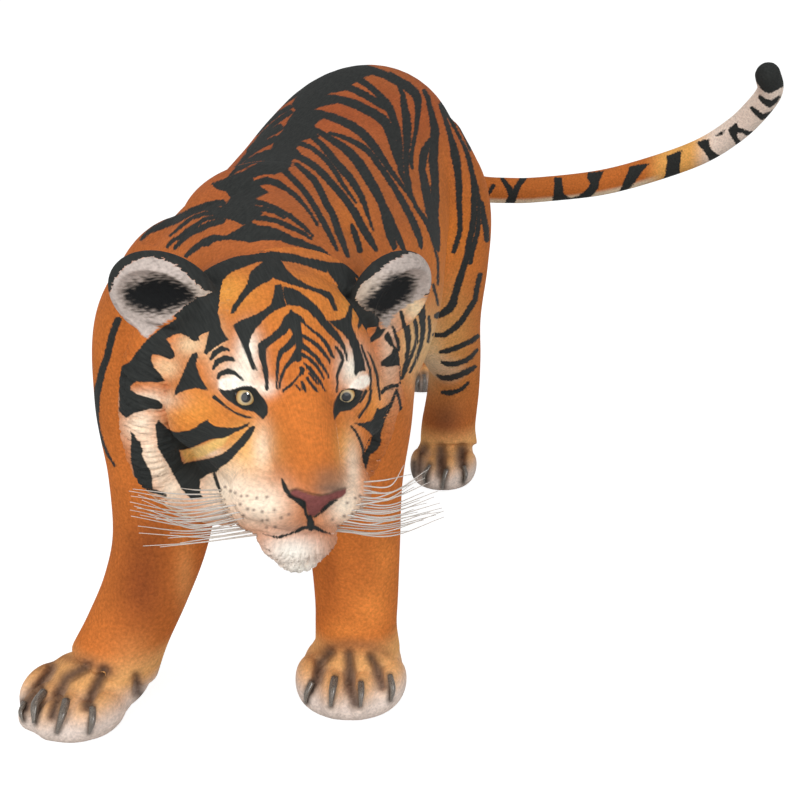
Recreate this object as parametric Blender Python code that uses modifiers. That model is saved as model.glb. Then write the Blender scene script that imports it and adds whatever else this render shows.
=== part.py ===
"""A prowling tiger: a hand-painted casting with set eyes and nylon whiskers.

Lengths are in metres and +Z is up. The tiger walks towards -Y and its left side is +X.
It is modelled as clay: overlapping forms are fused into one skin, the skin is thinned
to fewer faces, and the eyes, nostrils, lips and soles are cut into it.
"""

import math

import bmesh
import bpy
import numpy as np
from mathutils import Matrix, Vector
from mathutils.bvhtree import BVHTree

FIGURE = "tiger_figure"

# Main sizes: from the shoulders back to the root of the tail, the height of the hips'
# middle, and how far the tail swings out to the left.
BACK_LENGTH = 1.000
HIP_HEIGHT = 0.550
TAIL_SWING = 0.700

# Fineness of the clay, and the faces that the casting keeps.
VOXEL = 0.004
SOFTENING_PASSES = 7
BODY_TRIANGLES = 2300
PAW_TRIANGLES = 1300
HEAD_TRIANGLES = 1300
FACE_TRIANGLES = 1300
RING_POINTS = 20
RINGS_PER_SPAN = 4

# Clear gap between the casting and the pieces set into it or standing on it.
SEAT_GAP = 0.0004

# Eyes: a ball each, seen through an almond opening between the lids.
EYE_SPACING = 0.112
EYE_RADIUS = 0.0185
EYE_SET_BACK = 0.009
LID_THICKNESS = 0.0045
EYE_OPENING_HALF_WIDTH = 0.0165
EYE_OPENING_HALF_HEIGHT = 0.0112
EYE_TILT = 14.0
EYE_RINGS = 10

# Whiskers: rows on each side, and the number in a row.
WHISKER_RADIUS = 0.0008
WHISKER_TIP_SHARE = 0.4
WHISKER_ROWS = 4
WHISKERS_IN_ROW = 6
WHISKER_LENGTH = 0.135
SHORTEST_WHISKER_SHARE = 0.72
WHISKER_POINTS = 5
WHISKER_SIDES = 4

# Claws: length, and half thickness where they leave the toe.
CLAW_LENGTH = 0.018
CLAW_RADIUS = 0.0048

# Nostrils, and the parting of the lips.
NOSTRIL_RADII = (0.0055, 0.0100, 0.0045)
LIP_PARTING = 0.0022
LIP_DEPTH = 0.0120

# Paws: width across the toes and height of the toes.
FRONT_PAW_WIDTH = 0.148
HIND_PAW_WIDTH = 0.122
TOE_HEIGHT = 0.060

# Ears: half width, half depth and half height of the shell, its place on either side of the
# skull, how far both ears sit towards the left, and the wall round the hollow.
EAR_RADII = (0.063, 0.030, 0.048)
EAR_PLACE = (0.130, 0.128, 0.055)
EAR_LEAN = 0.014
EAR_TURN = 30.0
EAR_WALL = 0.013

# The body's stations give x in metres, y as a share of the back's length and z as a share
# of the hips' height. Trunk, from the chest back to the rump, with half width and half height.
TRUNK = [
    (0.050, -0.170, 0.855, 0.060, 0.070),
    (0.042, -0.125, 0.829, 0.118, 0.142),
    (0.030, -0.050, 0.827, 0.160, 0.184),
    (0.016, 0.040, 0.838, 0.187, 0.195),
    (0.005, 0.150, 0.833, 0.201, 0.206),
    (-0.006, 0.290, 0.846, 0.200, 0.205),
    (-0.024, 0.450, 0.884, 0.190, 0.206),
    (-0.038, 0.600, 0.946, 0.180, 0.199),
    (-0.042, 0.740, 0.993, 0.175, 0.190),
    (-0.046, 0.860, 0.996, 0.150, 0.168),
    (-0.046, 0.950, 0.985, 0.102, 0.126),
    (-0.046, 1.000, 0.978, 0.044, 0.064),
]

# Neck, from the withers forward into the back of the skull.
NECK = [
    (-0.010, 0.160, 0.927, 0.130, 0.135),
    (0.020, 0.030, 0.945, 0.138, 0.140),
    (0.062, -0.070, 0.936, 0.132, 0.135),
    (0.100, -0.150, 0.909, 0.118, 0.122),
]

# Shoulders, withers, brisket and haunches: the middle of each muscle and its radii.
MUSCLES = [
    ((-0.095, 0.045, 0.891), (0.094, 0.130, 0.125)),
    ((0.108, 0.060, 0.873), (0.092, 0.125, 0.125)),
    ((-0.010, 0.110, 1.091), (0.100, 0.150, 0.075)),
    ((-0.005, -0.070, 0.645), (0.105, 0.095, 0.090)),
    ((0.086, 0.715, 0.855), (0.104, 0.150, 0.160)),
    ((-0.120, 0.790, 0.873), (0.110, 0.150, 0.160)),
]

# Each leg, from the body down to the top of the paw, with half width and half depth.
FRONT_RIGHT_LEG = [
    (-0.085, 0.060, 1.018, 0.070, 0.110),
    (-0.112, 0.035, 0.873, 0.090, 0.135),
    (-0.112, -0.005, 0.691, 0.088, 0.112),
    (-0.102, -0.045, 0.527, 0.073, 0.082),
    (-0.103, -0.072, 0.382, 0.063, 0.064),
    (-0.115, -0.100, 0.273, 0.057, 0.058),
    (-0.135, -0.124, 0.173, 0.056, 0.056),
    (-0.152, -0.140, 0.091, 0.060, 0.062),
]
FRONT_LEFT_LEG = [
    (0.105, 0.070, 1.018, 0.055, 0.095),
    (0.130, 0.045, 0.873, 0.078, 0.120),
    (0.141, 0.010, 0.691, 0.076, 0.100),
    (0.143, -0.007, 0.527, 0.066, 0.078),
    (0.148, -0.014, 0.364, 0.060, 0.062),
    (0.151, -0.020, 0.236, 0.056, 0.057),
    (0.151, -0.024, 0.155, 0.055, 0.056),
    (0.153, -0.026, 0.082, 0.058, 0.060),
]
HIND_LEFT_LEG = [
    (0.036, 0.800, 1.091, 0.080, 0.120),
    (0.086, 0.740, 0.909, 0.094, 0.150),
    (0.106, 0.690, 0.727, 0.086, 0.140),
    (0.120, 0.680, 0.545, 0.066, 0.095),
    (0.128, 0.730, 0.382, 0.050, 0.066),
    (0.126, 0.740, 0.255, 0.049, 0.054),
    (0.124, 0.710, 0.145, 0.051, 0.054),
    (0.128, 0.695, 0.082, 0.054, 0.056),
]
HIND_RIGHT_LEG = [
    (-0.120, 0.800, 1.091, 0.080, 0.120),
    (-0.150, 0.790, 0.909, 0.088, 0.145),
    (-0.125, 0.810, 0.727, 0.080, 0.125),
    (-0.090, 0.900, 0.564, 0.060, 0.090),
    (-0.058, 1.060, 0.418, 0.048, 0.060),
    (-0.040, 1.150, 0.273, 0.047, 0.052),
    (-0.032, 1.165, 0.164, 0.049, 0.054),
    (-0.030, 1.155, 0.082, 0.052, 0.056),
]

# Where each paw stands (x, y), and the way its toes point, in degrees towards the left.
FRONT_RIGHT_PAW = (-0.172, -0.166, -22.0)
FRONT_LEFT_PAW = (0.149, -0.034, 10.0)
HIND_LEFT_PAW = (0.125, 0.676, 6.0)
HIND_RIGHT_PAW = (-0.026, 1.155, 4.0)

# Tail: x as a share of its swing from the root, y, z, radius.
TAIL_ROOT = -0.046
TAIL = [
    (0.000, 0.960, 1.073, 0.036),
    (0.023, 1.030, 1.018, 0.033),
    (0.094, 1.085, 0.891, 0.029),
    (0.194, 1.112, 0.822, 0.027),
    (0.301, 1.128, 0.811, 0.0265),
    (0.399, 1.140, 0.818, 0.026),
    (0.561, 1.138, 0.853, 0.026),
    (0.703, 1.121, 0.915, 0.0255),
    (0.839, 1.083, 1.000, 0.025),
    (0.927, 1.047, 1.091, 0.0245),
    (0.979, 1.005, 1.178, 0.024),
    (1.003, 0.967, 1.247, 0.0235),
    (0.991, 0.934, 1.304, 0.0225),
]

# The head turns about the point midway between the eyes.
EYE_LINE = (0.161, -0.2725, 0.923)
HEAD_YAW = 34.0
HEAD_PITCH = 11.8
HEAD_ROLL = 5.4

# Skull and bridge of the nose, in head coordinates (left, back, up) from the eye line.
SKULL = [
    (0, 0.200, 0.000, 0.084, 0.076),
    (0, 0.145, 0.000, 0.106, 0.092),
    (0, 0.095, -0.012, 0.116, 0.098),
    (0, 0.048, -0.032, 0.112, 0.092),
    (0, 0.012, -0.052, 0.098, 0.068),
    (0, -0.016, -0.066, 0.080, 0.050),
    (0, -0.046, -0.074, 0.062, 0.042),
    (0, -0.074, -0.076, 0.048, 0.036),
    (0, -0.092, -0.076, 0.034, 0.030),
    (0, -0.104, -0.075, 0.018, 0.016),
]
NOSE_BRIDGE = [
    (0, 0.030, 0.008, 0.046, 0.036),
    (0, -0.014, -0.010, 0.039, 0.033),
    (0, -0.044, -0.025, 0.036, 0.030),
    (0, -0.072, -0.041, 0.033, 0.027),
    (0, -0.094, -0.052, 0.029, 0.022),
    (0, -0.106, -0.058, 0.018, 0.014),
]

# Ruff of longer hair on the left cheek, from the ear down to the chin, in head coordinates.
RUFF = [
    (0.110, 0.126, 0.022, 0.030, 0.030),
    (0.118, 0.114, -0.018, 0.038, 0.038),
    (0.120, 0.104, -0.062, 0.041, 0.042),
    (0.116, 0.096, -0.106, 0.040, 0.041),
    (0.102, 0.086, -0.143, 0.037, 0.038),
    (0.072, 0.056, -0.152, 0.034, 0.036),
    (0.042, 0.018, -0.140, 0.028, 0.032),
]


def spot_of(x, y, z):
    """A station's place in metres."""
    return x, y * BACK_LENGTH, z * HIP_HEIGHT


def body_path(stations):
    return [(*spot_of(x, y, z), *radii) for x, y, z, *radii in stations]


def head_frame():
    """Head coordinates (left, back, up) from the eye line, as a world matrix."""
    turn = (
        Matrix.Rotation(math.radians(HEAD_YAW), 4, "Z")
        @ Matrix.Rotation(math.radians(HEAD_PITCH), 4, "X")
        @ Matrix.Rotation(math.radians(HEAD_ROLL), 4, "Y")
    )
    return Matrix.Translation(spot_of(*EYE_LINE)) @ turn


HEAD = head_frame()


def clear_scene():
    for item in list(bpy.data.objects):
        bpy.data.objects.remove(item)


def add_mesh(name, bm, collection):
    mesh = bpy.data.meshes.new(name)
    bm.to_mesh(mesh)
    bm.free()
    item = bpy.data.objects.new(name, mesh)
    collection.objects.link(item)
    return item


def apply_modifiers(item):
    graph = bpy.context.evaluated_depsgraph_get()
    mesh = bpy.data.meshes.new_from_object(item.evaluated_get(graph))
    item.modifiers.clear()
    item.data = mesh


def degrees(x, y, z):
    """A turn about X, then Y, then Z."""
    return (
        Matrix.Rotation(math.radians(z), 4, "Z")
        @ Matrix.Rotation(math.radians(y), 4, "Y")
        @ Matrix.Rotation(math.radians(x), 4, "X")
    )


def smooth_path(stations, steps):
    """Catmull-Rom values between the stations, with each station kept."""
    values = np.array(stations, float)
    padded = np.vstack([2 * values[0] - values[1], values, 2 * values[-1] - values[-2]])
    path = []
    for i in range(len(values) - 1):
        a, b, c, d = padded[i : i + 4]
        for k in range(steps):
            t = k / steps
            curve = 2 * b + (c - a) * t + (2 * a - 5 * b + 4 * c - d) * t**2
            path.append(0.5 * (curve + (3 * b - a - 3 * c + d) * t**3))
    path.append(values[-1])
    return np.array(path)


def loft(bm, stations, depth_way, frame=Matrix.Identity(4), points=RING_POINTS, steps=RINGS_PER_SPAN):
    """A closed skin through elliptical rings; depth_way is the way the second radius points."""
    path = smooth_path(stations, steps)
    centres = [Vector(row[:3]) for row in path]
    rings = []
    for i, centre in enumerate(centres):
        along = centres[min(i + 1, len(centres) - 1)] - centres[max(i - 1, 0)]
        side = along.cross(Vector(depth_way)).normalized()
        depth = side.cross(along).normalized()
        across, deep = path[i][3], path[i][4]
        ring = []
        for k in range(points):
            angle = 2 * math.pi * k / points
            spot = centre + side * math.cos(angle) * across + depth * math.sin(angle) * deep
            ring.append(bm.verts.new(frame @ spot))
        rings.append(ring)
    faces = [bm.faces.new(rings[0][::-1]), bm.faces.new(rings[-1])]
    for low, high in zip(rings, rings[1:]):
        for k in range(points):
            j = (k + 1) % points
            faces.append(bm.faces.new((low[k], low[j], high[j], high[k])))
    bmesh.ops.recalc_face_normals(bm, faces=faces)


def blob(bm, centre, radii, turn=(0, 0, 0), frame=Matrix.Identity(4), finish=3):
    """An ellipsoid of clay, turned by degrees about X, Y, Z, in the given frame."""
    place = frame @ Matrix.Translation(centre) @ degrees(*turn) @ Matrix.Diagonal((*radii, 1))
    bmesh.ops.create_icosphere(bm, subdivisions=finish, radius=1, matrix=place)


def pair(bm, centre, radii, turn=(0, 0, 0), frame=HEAD, finish=3):
    """The same ellipsoid on the left and the right of the head."""
    x, y, z = centre
    blob(bm, (x, y, z), radii, turn, frame, finish)
    blob(bm, (-x, y, z), radii, (turn[0], -turn[1], -turn[2]), frame, finish)


def eye_frame(side):
    """The eye's centre and tilt, for side +1 (left) or -1 (right)."""
    place = Matrix.Translation((side * EYE_SPACING / 2, EYE_SET_BACK, 0))
    return HEAD @ place @ degrees(0, -side * EYE_TILT, 0)


def shape_trunk(bm):
    loft(bm, body_path(TRUNK), (0, 0, 1))
    loft(bm, body_path(NECK), (0, 0, 1))
    for centre, radii in MUSCLES:
        blob(bm, spot_of(*centre), radii)


def toes(place, width):
    """Frame and centre of each toe of a paw, from the inner to the outer side."""
    x, y, turn = place
    frame = Matrix.Translation(spot_of(x, y, 0)) @ degrees(0, 0, turn)
    half = width / 2
    row = []
    for across, ahead in ((-0.72, 0.038), (-0.25, 0.064), (0.25, 0.064), (0.72, 0.038)):
        row.append((frame, Vector((across * half, -ahead, TOE_HEIGHT * 0.42)), across))
    return row


def shape_paw(bm, place, width):
    """A pad with four toes in front and a heel behind; the soles are cut flat later."""
    half = width / 2
    for frame, centre, across in toes(place, width):
        blob(bm, centre, (half * 0.28, 0.041, TOE_HEIGHT * 0.50), (0, 0, -across * 14), frame)
        knuckle = centre + Vector((-across * 0.008, 0.032, 0.004))
        blob(bm, knuckle, (half * 0.27, 0.036, TOE_HEIGHT * 0.44), (18, 0, 0), frame)
    # The pad behind the toes, and the webs between them.
    blob(bm, (0, 0.014, 0.031), (half * 0.85, half * 0.95, 0.040), (0, 0, 0), frame)
    blob(bm, (0, -0.040, 0.016), (half * 0.96, 0.057, 0.031), (0, 0, 0), frame)


def shape_ear(bm, side):
    """A cupped shell: the hollow is an ellipsoid moved forward out of the shell."""
    x, y, z = EAR_PLACE
    place = HEAD @ Matrix.Translation((side * x + EAR_LEAN, y, z)) @ degrees(-6, -side * 10, side * EAR_TURN)
    shell = bmesh.new()
    blob(shell, (0, 0, 0), EAR_RADII, frame=place, finish=4)
    inner = [radius - EAR_WALL for radius in EAR_RADII]
    hollow = bmesh.new()
    blob(hollow, (0, -EAR_RADII[1] * 0.95, -0.002), (inner[0], EAR_RADII[1], inner[2]), frame=place, finish=4)
    item = add_mesh("ear", shell, bpy.context.scene.collection)
    carve(item, hollow, "DIFFERENCE")
    bm.from_mesh(item.data)
    bpy.data.objects.remove(item)


def shape_head(bm):
    loft(bm, SKULL, (0, 0, 1), HEAD)
    loft(bm, NOSE_BRIDGE, (0, 0, 1), HEAD)
    # Forehead, brows and cheek bones.
    blob(bm, (0, 0.062, 0.014), (0.070, 0.062, 0.066), frame=HEAD)
    pair(bm, (0.050, 0.026, 0.021), (0.034, 0.026, 0.018), (0, 14, 0))
    pair(bm, (0.082, 0.044, -0.036), (0.040, 0.046, 0.046))
    # Nose pad, whisker pads, chin and jaw.
    blob(bm, (0, -0.097, -0.055), (0.031, 0.015, 0.019), frame=HEAD)
    pair(bm, (0.026, -0.078, -0.074), (0.031, 0.030, 0.028), (0, 0, 12))
    pair(bm, (0.044, -0.054, -0.076), (0.030, 0.038, 0.028), (0, 0, 24))
    blob(bm, (0, -0.064, -0.124), (0.042, 0.038, 0.036), frame=HEAD)
    blob(bm, (0, -0.074, -0.144), (0.026, 0.022, 0.020), frame=HEAD)
    pair(bm, (0.036, -0.012, -0.106), (0.040, 0.064, 0.032))
    blob(bm, (0, 0.070, -0.085), (0.090, 0.085, 0.070), frame=HEAD)
    for side in (1, -1):
        loft(bm, [(side * x, *rest) for x, *rest in RUFF], (0, -1, 0), HEAD)
        blob(bm, (0, 0, 0), (EYE_RADIUS + LID_THICKNESS,) * 3, frame=eye_frame(side))
        shape_ear(bm, side)


def shape_tail(bm):
    path = [(*spot_of(TAIL_ROOT + x * TAIL_SWING, y, z), radius, radius) for x, y, z, radius in TAIL]
    loft(bm, path, (0, 1, 0))
    *tip, radius, _ = path[-1]
    blob(bm, tip, (radius,) * 3)


def model_clay(collection):
    bm = bmesh.new()
    shape_trunk(bm)
    for leg in (FRONT_RIGHT_LEG, FRONT_LEFT_LEG, HIND_LEFT_LEG, HIND_RIGHT_LEG):
        loft(bm, body_path(leg), (0, -1, 0))
    for place, width in all_paws():
        shape_paw(bm, place, width)
    shape_tail(bm)
    shape_head(bm)
    return add_mesh("tiger_cast", bm, collection)


def all_paws():
    yield FRONT_RIGHT_PAW, FRONT_PAW_WIDTH
    yield FRONT_LEFT_PAW, FRONT_PAW_WIDTH
    yield HIND_LEFT_PAW, HIND_PAW_WIDTH
    yield HIND_RIGHT_PAW, HIND_PAW_WIDTH


def fuse(item):
    """Joins the pieces of clay into one skin and softens it."""
    join = item.modifiers.new("Join", "REMESH")
    join.mode = "VOXEL"
    join.voxel_size = VOXEL
    soften = item.modifiers.new("Soften", "SMOOTH")
    soften.factor = 0.5
    soften.iterations = SOFTENING_PASSES
    apply_modifiers(item)


def on_face(spot):
    local = HEAD.inverted() @ spot
    return local.y < 0.025 and abs(local.x) < 0.11 and spot.z > HIP_HEIGHT / 2


def on_rest_of_head(spot):
    local = HEAD.inverted() @ spot
    near = local.y < 0.15 and abs(local.x) < 0.22 and spot.z > HIP_HEIGHT / 2
    return near and not on_face(spot)


def on_paw(spot):
    return spot.z < TOE_HEIGHT * 1.25


def on_body(spot):
    return not (on_face(spot) or on_rest_of_head(spot) or on_paw(spot))


def thin(item, region, faces):
    """Drops one region to about the given number of triangles and leaves the rest as it is."""
    mesh = item.data
    inside = [region(vertex.co) for vertex in mesh.vertices]
    kept = sum(len(face.vertices) - 2 for face in mesh.polygons if not inside[face.vertices[0]])
    total = sum(len(face.vertices) - 2 for face in mesh.polygons)
    group = item.vertex_groups.new(name="region")
    group.add([i for i, chosen in enumerate(inside) if chosen], 1.0, "REPLACE")
    fewer = item.modifiers.new("Fewer faces", "DECIMATE")
    fewer.ratio = (kept + faces) / total
    fewer.vertex_group = group.name
    fewer.vertex_group_factor = 1.0
    apply_modifiers(item)
    item.vertex_groups.clear()


def carve(item, bm, operation):
    """Cuts a shape out of the item, or adds it, and leaves no cutter behind."""
    cutter = add_mesh("cutter", bm, bpy.context.scene.collection)
    cut = item.modifiers.new("Carve", "BOOLEAN")
    cut.operation = operation
    cut.solver = "EXACT"
    cut.object = cutter
    apply_modifiers(item)
    bpy.data.objects.remove(cutter)


def cut_eyes(item):
    for side in (1, -1):
        socket = bmesh.new()
        add_ball(socket, EYE_RADIUS + SEAT_GAP, side)
        carve(item, socket, "DIFFERENCE")
        opening = bmesh.new()
        ahead = EYE_RADIUS + LID_THICKNESS
        radii = (EYE_OPENING_HALF_WIDTH, ahead, EYE_OPENING_HALF_HEIGHT)
        blob(opening, (0, -ahead, 0), radii, frame=eye_frame(side), finish=2)
        carve(item, opening, "DIFFERENCE")


def cut_face(item):
    nostrils = bmesh.new()
    pair(nostrils, (0.0145, -0.108, -0.060), NOSTRIL_RADII, (0, 0, 25), finish=2)
    carve(item, nostrils, "DIFFERENCE")
    lips = bmesh.new()
    half = [(0.000, -0.106, -0.088), (0.016, -0.104, -0.096), (0.034, -0.088, -0.100), (0.052, -0.062, -0.102)]
    line = [(-x, y, z) for x, y, z in half[:0:-1]] + half
    loft(lips, [(*spot, LIP_DEPTH, LIP_PARTING) for spot in line], (0, 0, 1), HEAD, points=8, steps=1)
    carve(item, lips, "DIFFERENCE")


def add_claws(item):
    claws = bmesh.new()
    for place, width in all_paws():
        for frame, centre, across in toes(place, width):
            root = centre + Vector((-across * 0.004, -0.030, 0.012))
            steps = ((0, 0.1, 1), (-0.5, -0.08, 0.95), (-0.78, -0.45, 0.7), (-0.86, -0.95, 0.25))
            claw = []
            for forward, down, thickness in steps:
                spot = root + Vector((0, forward, down)) * CLAW_LENGTH
                claw.append((*spot, CLAW_RADIUS * thickness * 0.8, CLAW_RADIUS * thickness))
            loft(claws, claw, (0, 0, 1), frame, points=6, steps=1)
    carve(item, claws, "UNION")


def flatten_soles(item):
    """Cuts the pads on the ground plane, so that the figure stands on four flat soles."""
    bm = bmesh.new()
    bm.from_mesh(item.data)
    everything = list(bm.verts) + list(bm.edges) + list(bm.faces)
    bmesh.ops.bisect_plane(bm, geom=everything, plane_co=(0, 0, 0), plane_no=(0, 0, -1), clear_outer=True)
    rims = [edge for edge in bm.edges if edge.is_boundary]
    bmesh.ops.holes_fill(bm, edges=rims, sides=0)
    bmesh.ops.triangulate(bm, faces=bm.faces)
    bmesh.ops.recalc_face_normals(bm, faces=bm.faces)
    bm.to_mesh(item.data)
    bm.free()


def add_ball(bm, radius, side):
    bmesh.ops.create_uvsphere(
        bm, u_segments=2 * EYE_RINGS, v_segments=EYE_RINGS, radius=radius, matrix=eye_frame(side)
    )


def make_eye(side, collection):
    bm = bmesh.new()
    add_ball(bm, EYE_RADIUS, side)
    return add_mesh("eye_left" if side > 0 else "eye_right", bm, collection)


def skin_tree(item):
    mesh = item.data
    return BVHTree.FromPolygons([v.co for v in mesh.vertices], [list(p.vertices) for p in mesh.polygons])


def make_whisker(name, side, row, column, skin, collection):
    """A tapered, drooping filament that stands just clear of the whisker pad."""
    back = column / (WHISKERS_IN_ROW - 1)
    down = row / (WHISKER_ROWS - 1)
    before = HEAD @ Vector((side * (0.032 + 0.030 * back), -0.200, -0.058 - 0.027 * down - 0.006 * back))
    hit, normal, _, _ = skin.ray_cast(before, HEAD.to_3x3() @ Vector((0, 1, 0)))
    to_head = HEAD.inverted()
    outward = (to_head.to_3x3() @ normal).normalized()
    aim = Vector((side, 0.10 + 0.42 * back, -0.06 - 0.22 * down)).normalized()
    aim = (aim + outward * 0.35).normalized()
    lean = math.sqrt(1 - aim.dot(outward) ** 2)
    root = to_head @ hit + outward * (SEAT_GAP + WHISKER_RADIUS * lean)
    swell = math.sin(math.pi * (0.2 + 0.6 * back))
    length = WHISKER_LENGTH * (SHORTEST_WHISKER_SHARE + (1 - SHORTEST_WHISKER_SHARE) * swell)
    droop = Vector((0, 0.16, -0.05))
    stations = []
    for i in range(WHISKER_POINTS):
        t = i / (WHISKER_POINTS - 1)
        radius = WHISKER_RADIUS * (1 - (1 - WHISKER_TIP_SHARE) * t)
        stations.append((*(root + length * (aim * t + droop * t**2)), radius, radius))
    bm = bmesh.new()
    loft(bm, stations, (0, 0, 1), HEAD, points=WHISKER_SIDES, steps=1)
    return add_mesh(name, bm, collection)


def make_whiskers(skin, collection):
    for side, word in ((1, "left"), (-1, "right")):
        for row in range(WHISKER_ROWS):
            for column in range(WHISKERS_IN_ROW):
                name = f"whisker_{word}_{row + 1}_{column + 1}"
                make_whisker(name, side, row, column, skin, collection)


def give_material(item, colour, roughness):
    material = bpy.data.materials.new(item.name + "_finish")
    material.use_nodes = True
    shader = material.node_tree.nodes["Principled BSDF"]
    shader.inputs["Base Color"].default_value = (*colour, 1)
    shader.inputs["Roughness"].default_value = roughness
    item.data.materials.clear()
    item.data.materials.append(material)


def centre_on_floor(collection):
    """Moves the whole figure so that the middle of its box is over the origin."""
    bpy.context.view_layer.update()
    corners = [item.matrix_world @ Vector(c) for item in collection.objects for c in item.bound_box]
    low = [min(c[i] for c in corners) for i in range(3)]
    high = [max(c[i] for c in corners) for i in range(3)]
    shift = Matrix.Translation((-(low[0] + high[0]) / 2, -(low[1] + high[1]) / 2, 0))
    for item in collection.objects:
        item.data.transform(shift)
    return shift.translation


def main():
    clear_scene()
    figure = bpy.data.collections.new(FIGURE)
    bpy.context.scene.collection.children.link(figure)
    cast = model_clay(figure)
    fuse(cast)
    thin(cast, on_body, BODY_TRIANGLES)
    thin(cast, on_paw, PAW_TRIANGLES)
    thin(cast, on_rest_of_head, HEAD_TRIANGLES)
    thin(cast, on_face, FACE_TRIANGLES)
    cut_eyes(cast)
    cut_face(cast)
    add_claws(cast)
    flatten_soles(cast)
    cast.data.shade_smooth()
    make_whiskers(skin_tree(cast), figure)
    make_eye(1, figure)
    make_eye(-1, figure)
    centre_on_floor(figure)
    for item in figure.objects:
        if item.name.startswith("whisker"):
            give_material(item, (0.83, 0.80, 0.74), 0.35)
        elif item.name.startswith("eye"):
            give_material(item, (0.62, 0.50, 0.28), 0.05)
        else:
            give_material(item, (0.62, 0.27, 0.08), 0.55)


main()
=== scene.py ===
"""Looks of the prowling tiger: painted skin, set eyes, claws and whiskers round the fixed frame.

Lengths are in metres. The clay is modelled in the sculptor's frame, in which the tiger walks
towards -Y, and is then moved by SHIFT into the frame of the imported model. Stripes and markings
are drawn in the pixels of the photograph's 800 x 800 frame and projected from its camera.
"""

import math

import bmesh
import bpy
import numpy as np
from mathutils import Matrix, Vector, noise
from mathutils.bvhtree import BVHTree


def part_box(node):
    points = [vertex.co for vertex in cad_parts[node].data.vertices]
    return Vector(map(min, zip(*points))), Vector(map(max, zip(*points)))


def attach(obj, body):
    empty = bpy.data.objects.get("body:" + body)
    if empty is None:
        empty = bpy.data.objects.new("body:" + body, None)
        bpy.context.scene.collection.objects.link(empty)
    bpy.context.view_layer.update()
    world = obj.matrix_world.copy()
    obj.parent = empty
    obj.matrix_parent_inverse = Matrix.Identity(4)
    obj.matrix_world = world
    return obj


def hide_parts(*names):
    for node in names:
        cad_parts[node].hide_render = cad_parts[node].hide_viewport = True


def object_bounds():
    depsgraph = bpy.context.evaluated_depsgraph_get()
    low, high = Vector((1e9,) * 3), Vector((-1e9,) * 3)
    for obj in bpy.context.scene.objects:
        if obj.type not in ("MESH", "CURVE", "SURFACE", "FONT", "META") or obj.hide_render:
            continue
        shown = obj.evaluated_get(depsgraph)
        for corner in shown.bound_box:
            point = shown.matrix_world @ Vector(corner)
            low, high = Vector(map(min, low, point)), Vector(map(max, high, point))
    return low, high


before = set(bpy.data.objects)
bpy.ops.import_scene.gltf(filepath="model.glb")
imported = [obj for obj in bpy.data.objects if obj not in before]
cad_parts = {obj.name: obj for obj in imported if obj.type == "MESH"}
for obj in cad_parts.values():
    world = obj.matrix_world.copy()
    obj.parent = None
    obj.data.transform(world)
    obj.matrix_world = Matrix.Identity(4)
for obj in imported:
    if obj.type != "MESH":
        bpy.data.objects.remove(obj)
CAD_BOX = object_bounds()

# The body's main sizes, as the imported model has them.
BACK_LENGTH = 1.000
HIP_HEIGHT = 0.550
TAIL_SWING = 0.700

# Fineness of the clay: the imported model's own grain and passes of softening, the body's grain
# and the head's, and the points and rings of each form.
CAD_VOXEL = 0.004
CAD_SOFTENING = 7
BODY_VOXEL = 0.0034
HEAD_VOXEL = 0.0016
RING_POINTS = 48
RINGS_PER_SPAN = 10

# Where the head's finer skin takes over from the body's, in head coordinates: behind the ears,
# along a slanting plane under the jaw, and within the head's reach; and the skins' overlap.
HEAD_CUT = 0.165
JAW_CUT = -0.175
JAW_SLOPE = 0.35
HEAD_REACH = 0.24
HEAD_OVERLAP = 0.004

# The skins are cut into pieces by their distance back: the body's in the sculptor's frame, the
# head's in head coordinates. Each piece starts here and ends where the next one starts.
BODY_PIECES = {"tiger_fore": -9, "tiger_flank": 0.14, "tiger_haunch": 0.62, "tiger_rear": 0.92}
HEAD_PIECES = {"tiger_face": -9, "tiger_head": 0.04}

# Where the fur's flow starts, below the eye line.
FACE_MIDDLE = 0.05

# How far hairs break a black mark's edge, and how soft that edge is, in pixels.
FRINGE = 3.0
EDGE = 0.6

# The photograph's camera, in the sculptor's frame.
PHOTO_SIZE = 800
PHOTO_FOCAL = 1230.0
SENSOR = 36.0
CAMERA_PLACE = Vector((0.5569, -1.4071, 0.9720))
CAMERA_YAW = math.radians(14.0)
CAMERA_PITCH = math.radians(21.3)

# Paints, as sRGB values of 0 to 255.
ORANGE = (202, 114, 51)
BACK_BROWN = (156, 84, 50)
BELLY_CREAM = (244, 222, 190)
SOOT = (30, 32, 32)
WORN_SOOT = (58, 60, 58)
LID_WHITE = (255, 243, 228)
WEDGE_YELLOW = (240, 196, 118)
NOSE_PINK = (132, 76, 72)
NOSE_BROWN = (62, 42, 38)
DOT_GREY = (112, 92, 84)
EAR_GREY = (196, 182, 174)
EAR_TAN = (176, 158, 128)
# Painted shade of the ears' hollows, grey-brown deepening to black.
EAR_SHADE = (124, 112, 102)
HOLLOW_SHADE_BLACK = (24, 25, 26)
EAR_CREAM = (238, 220, 196)
TAIL_YELLOW = (242, 178, 96)
TAIL_PALE = (250, 230, 214)
PAW_TAN = (232, 172, 108)
PAW_PALE = (236, 218, 206)
KNUCKLE_BROWN = (150, 98, 62)
CLEFT_BROWN = (92, 72, 62)
# Painted shade round the claws.
CLAW_SHADE_GREY = (78, 68, 62)

# Colours of the claws and whiskers, from dark to light grain.
HORN_STOPS = [(0.35, (56, 50, 46)), (0.72, (150, 140, 128))]
HAIR_STOPS = [(0, (184, 176, 168)), (1, (222, 214, 206))]

# The eye's rings: degrees from the middle of the pupil, and their colours; and how far the
# grain shifts them.
EYE_RINGS = [
    (0, (26, 28, 32)), (13.5, (34, 38, 42)), (15, (16, 15, 15)), (17, (170, 155, 130)),
    (20, (208, 184, 140)), (26, (206, 172, 114)), (30.5, (172, 128, 76)), (33, (52, 36, 24)),
    (35, (8, 7, 7)), (60, (6, 6, 6)),
]
WAVER = 0.035

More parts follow.
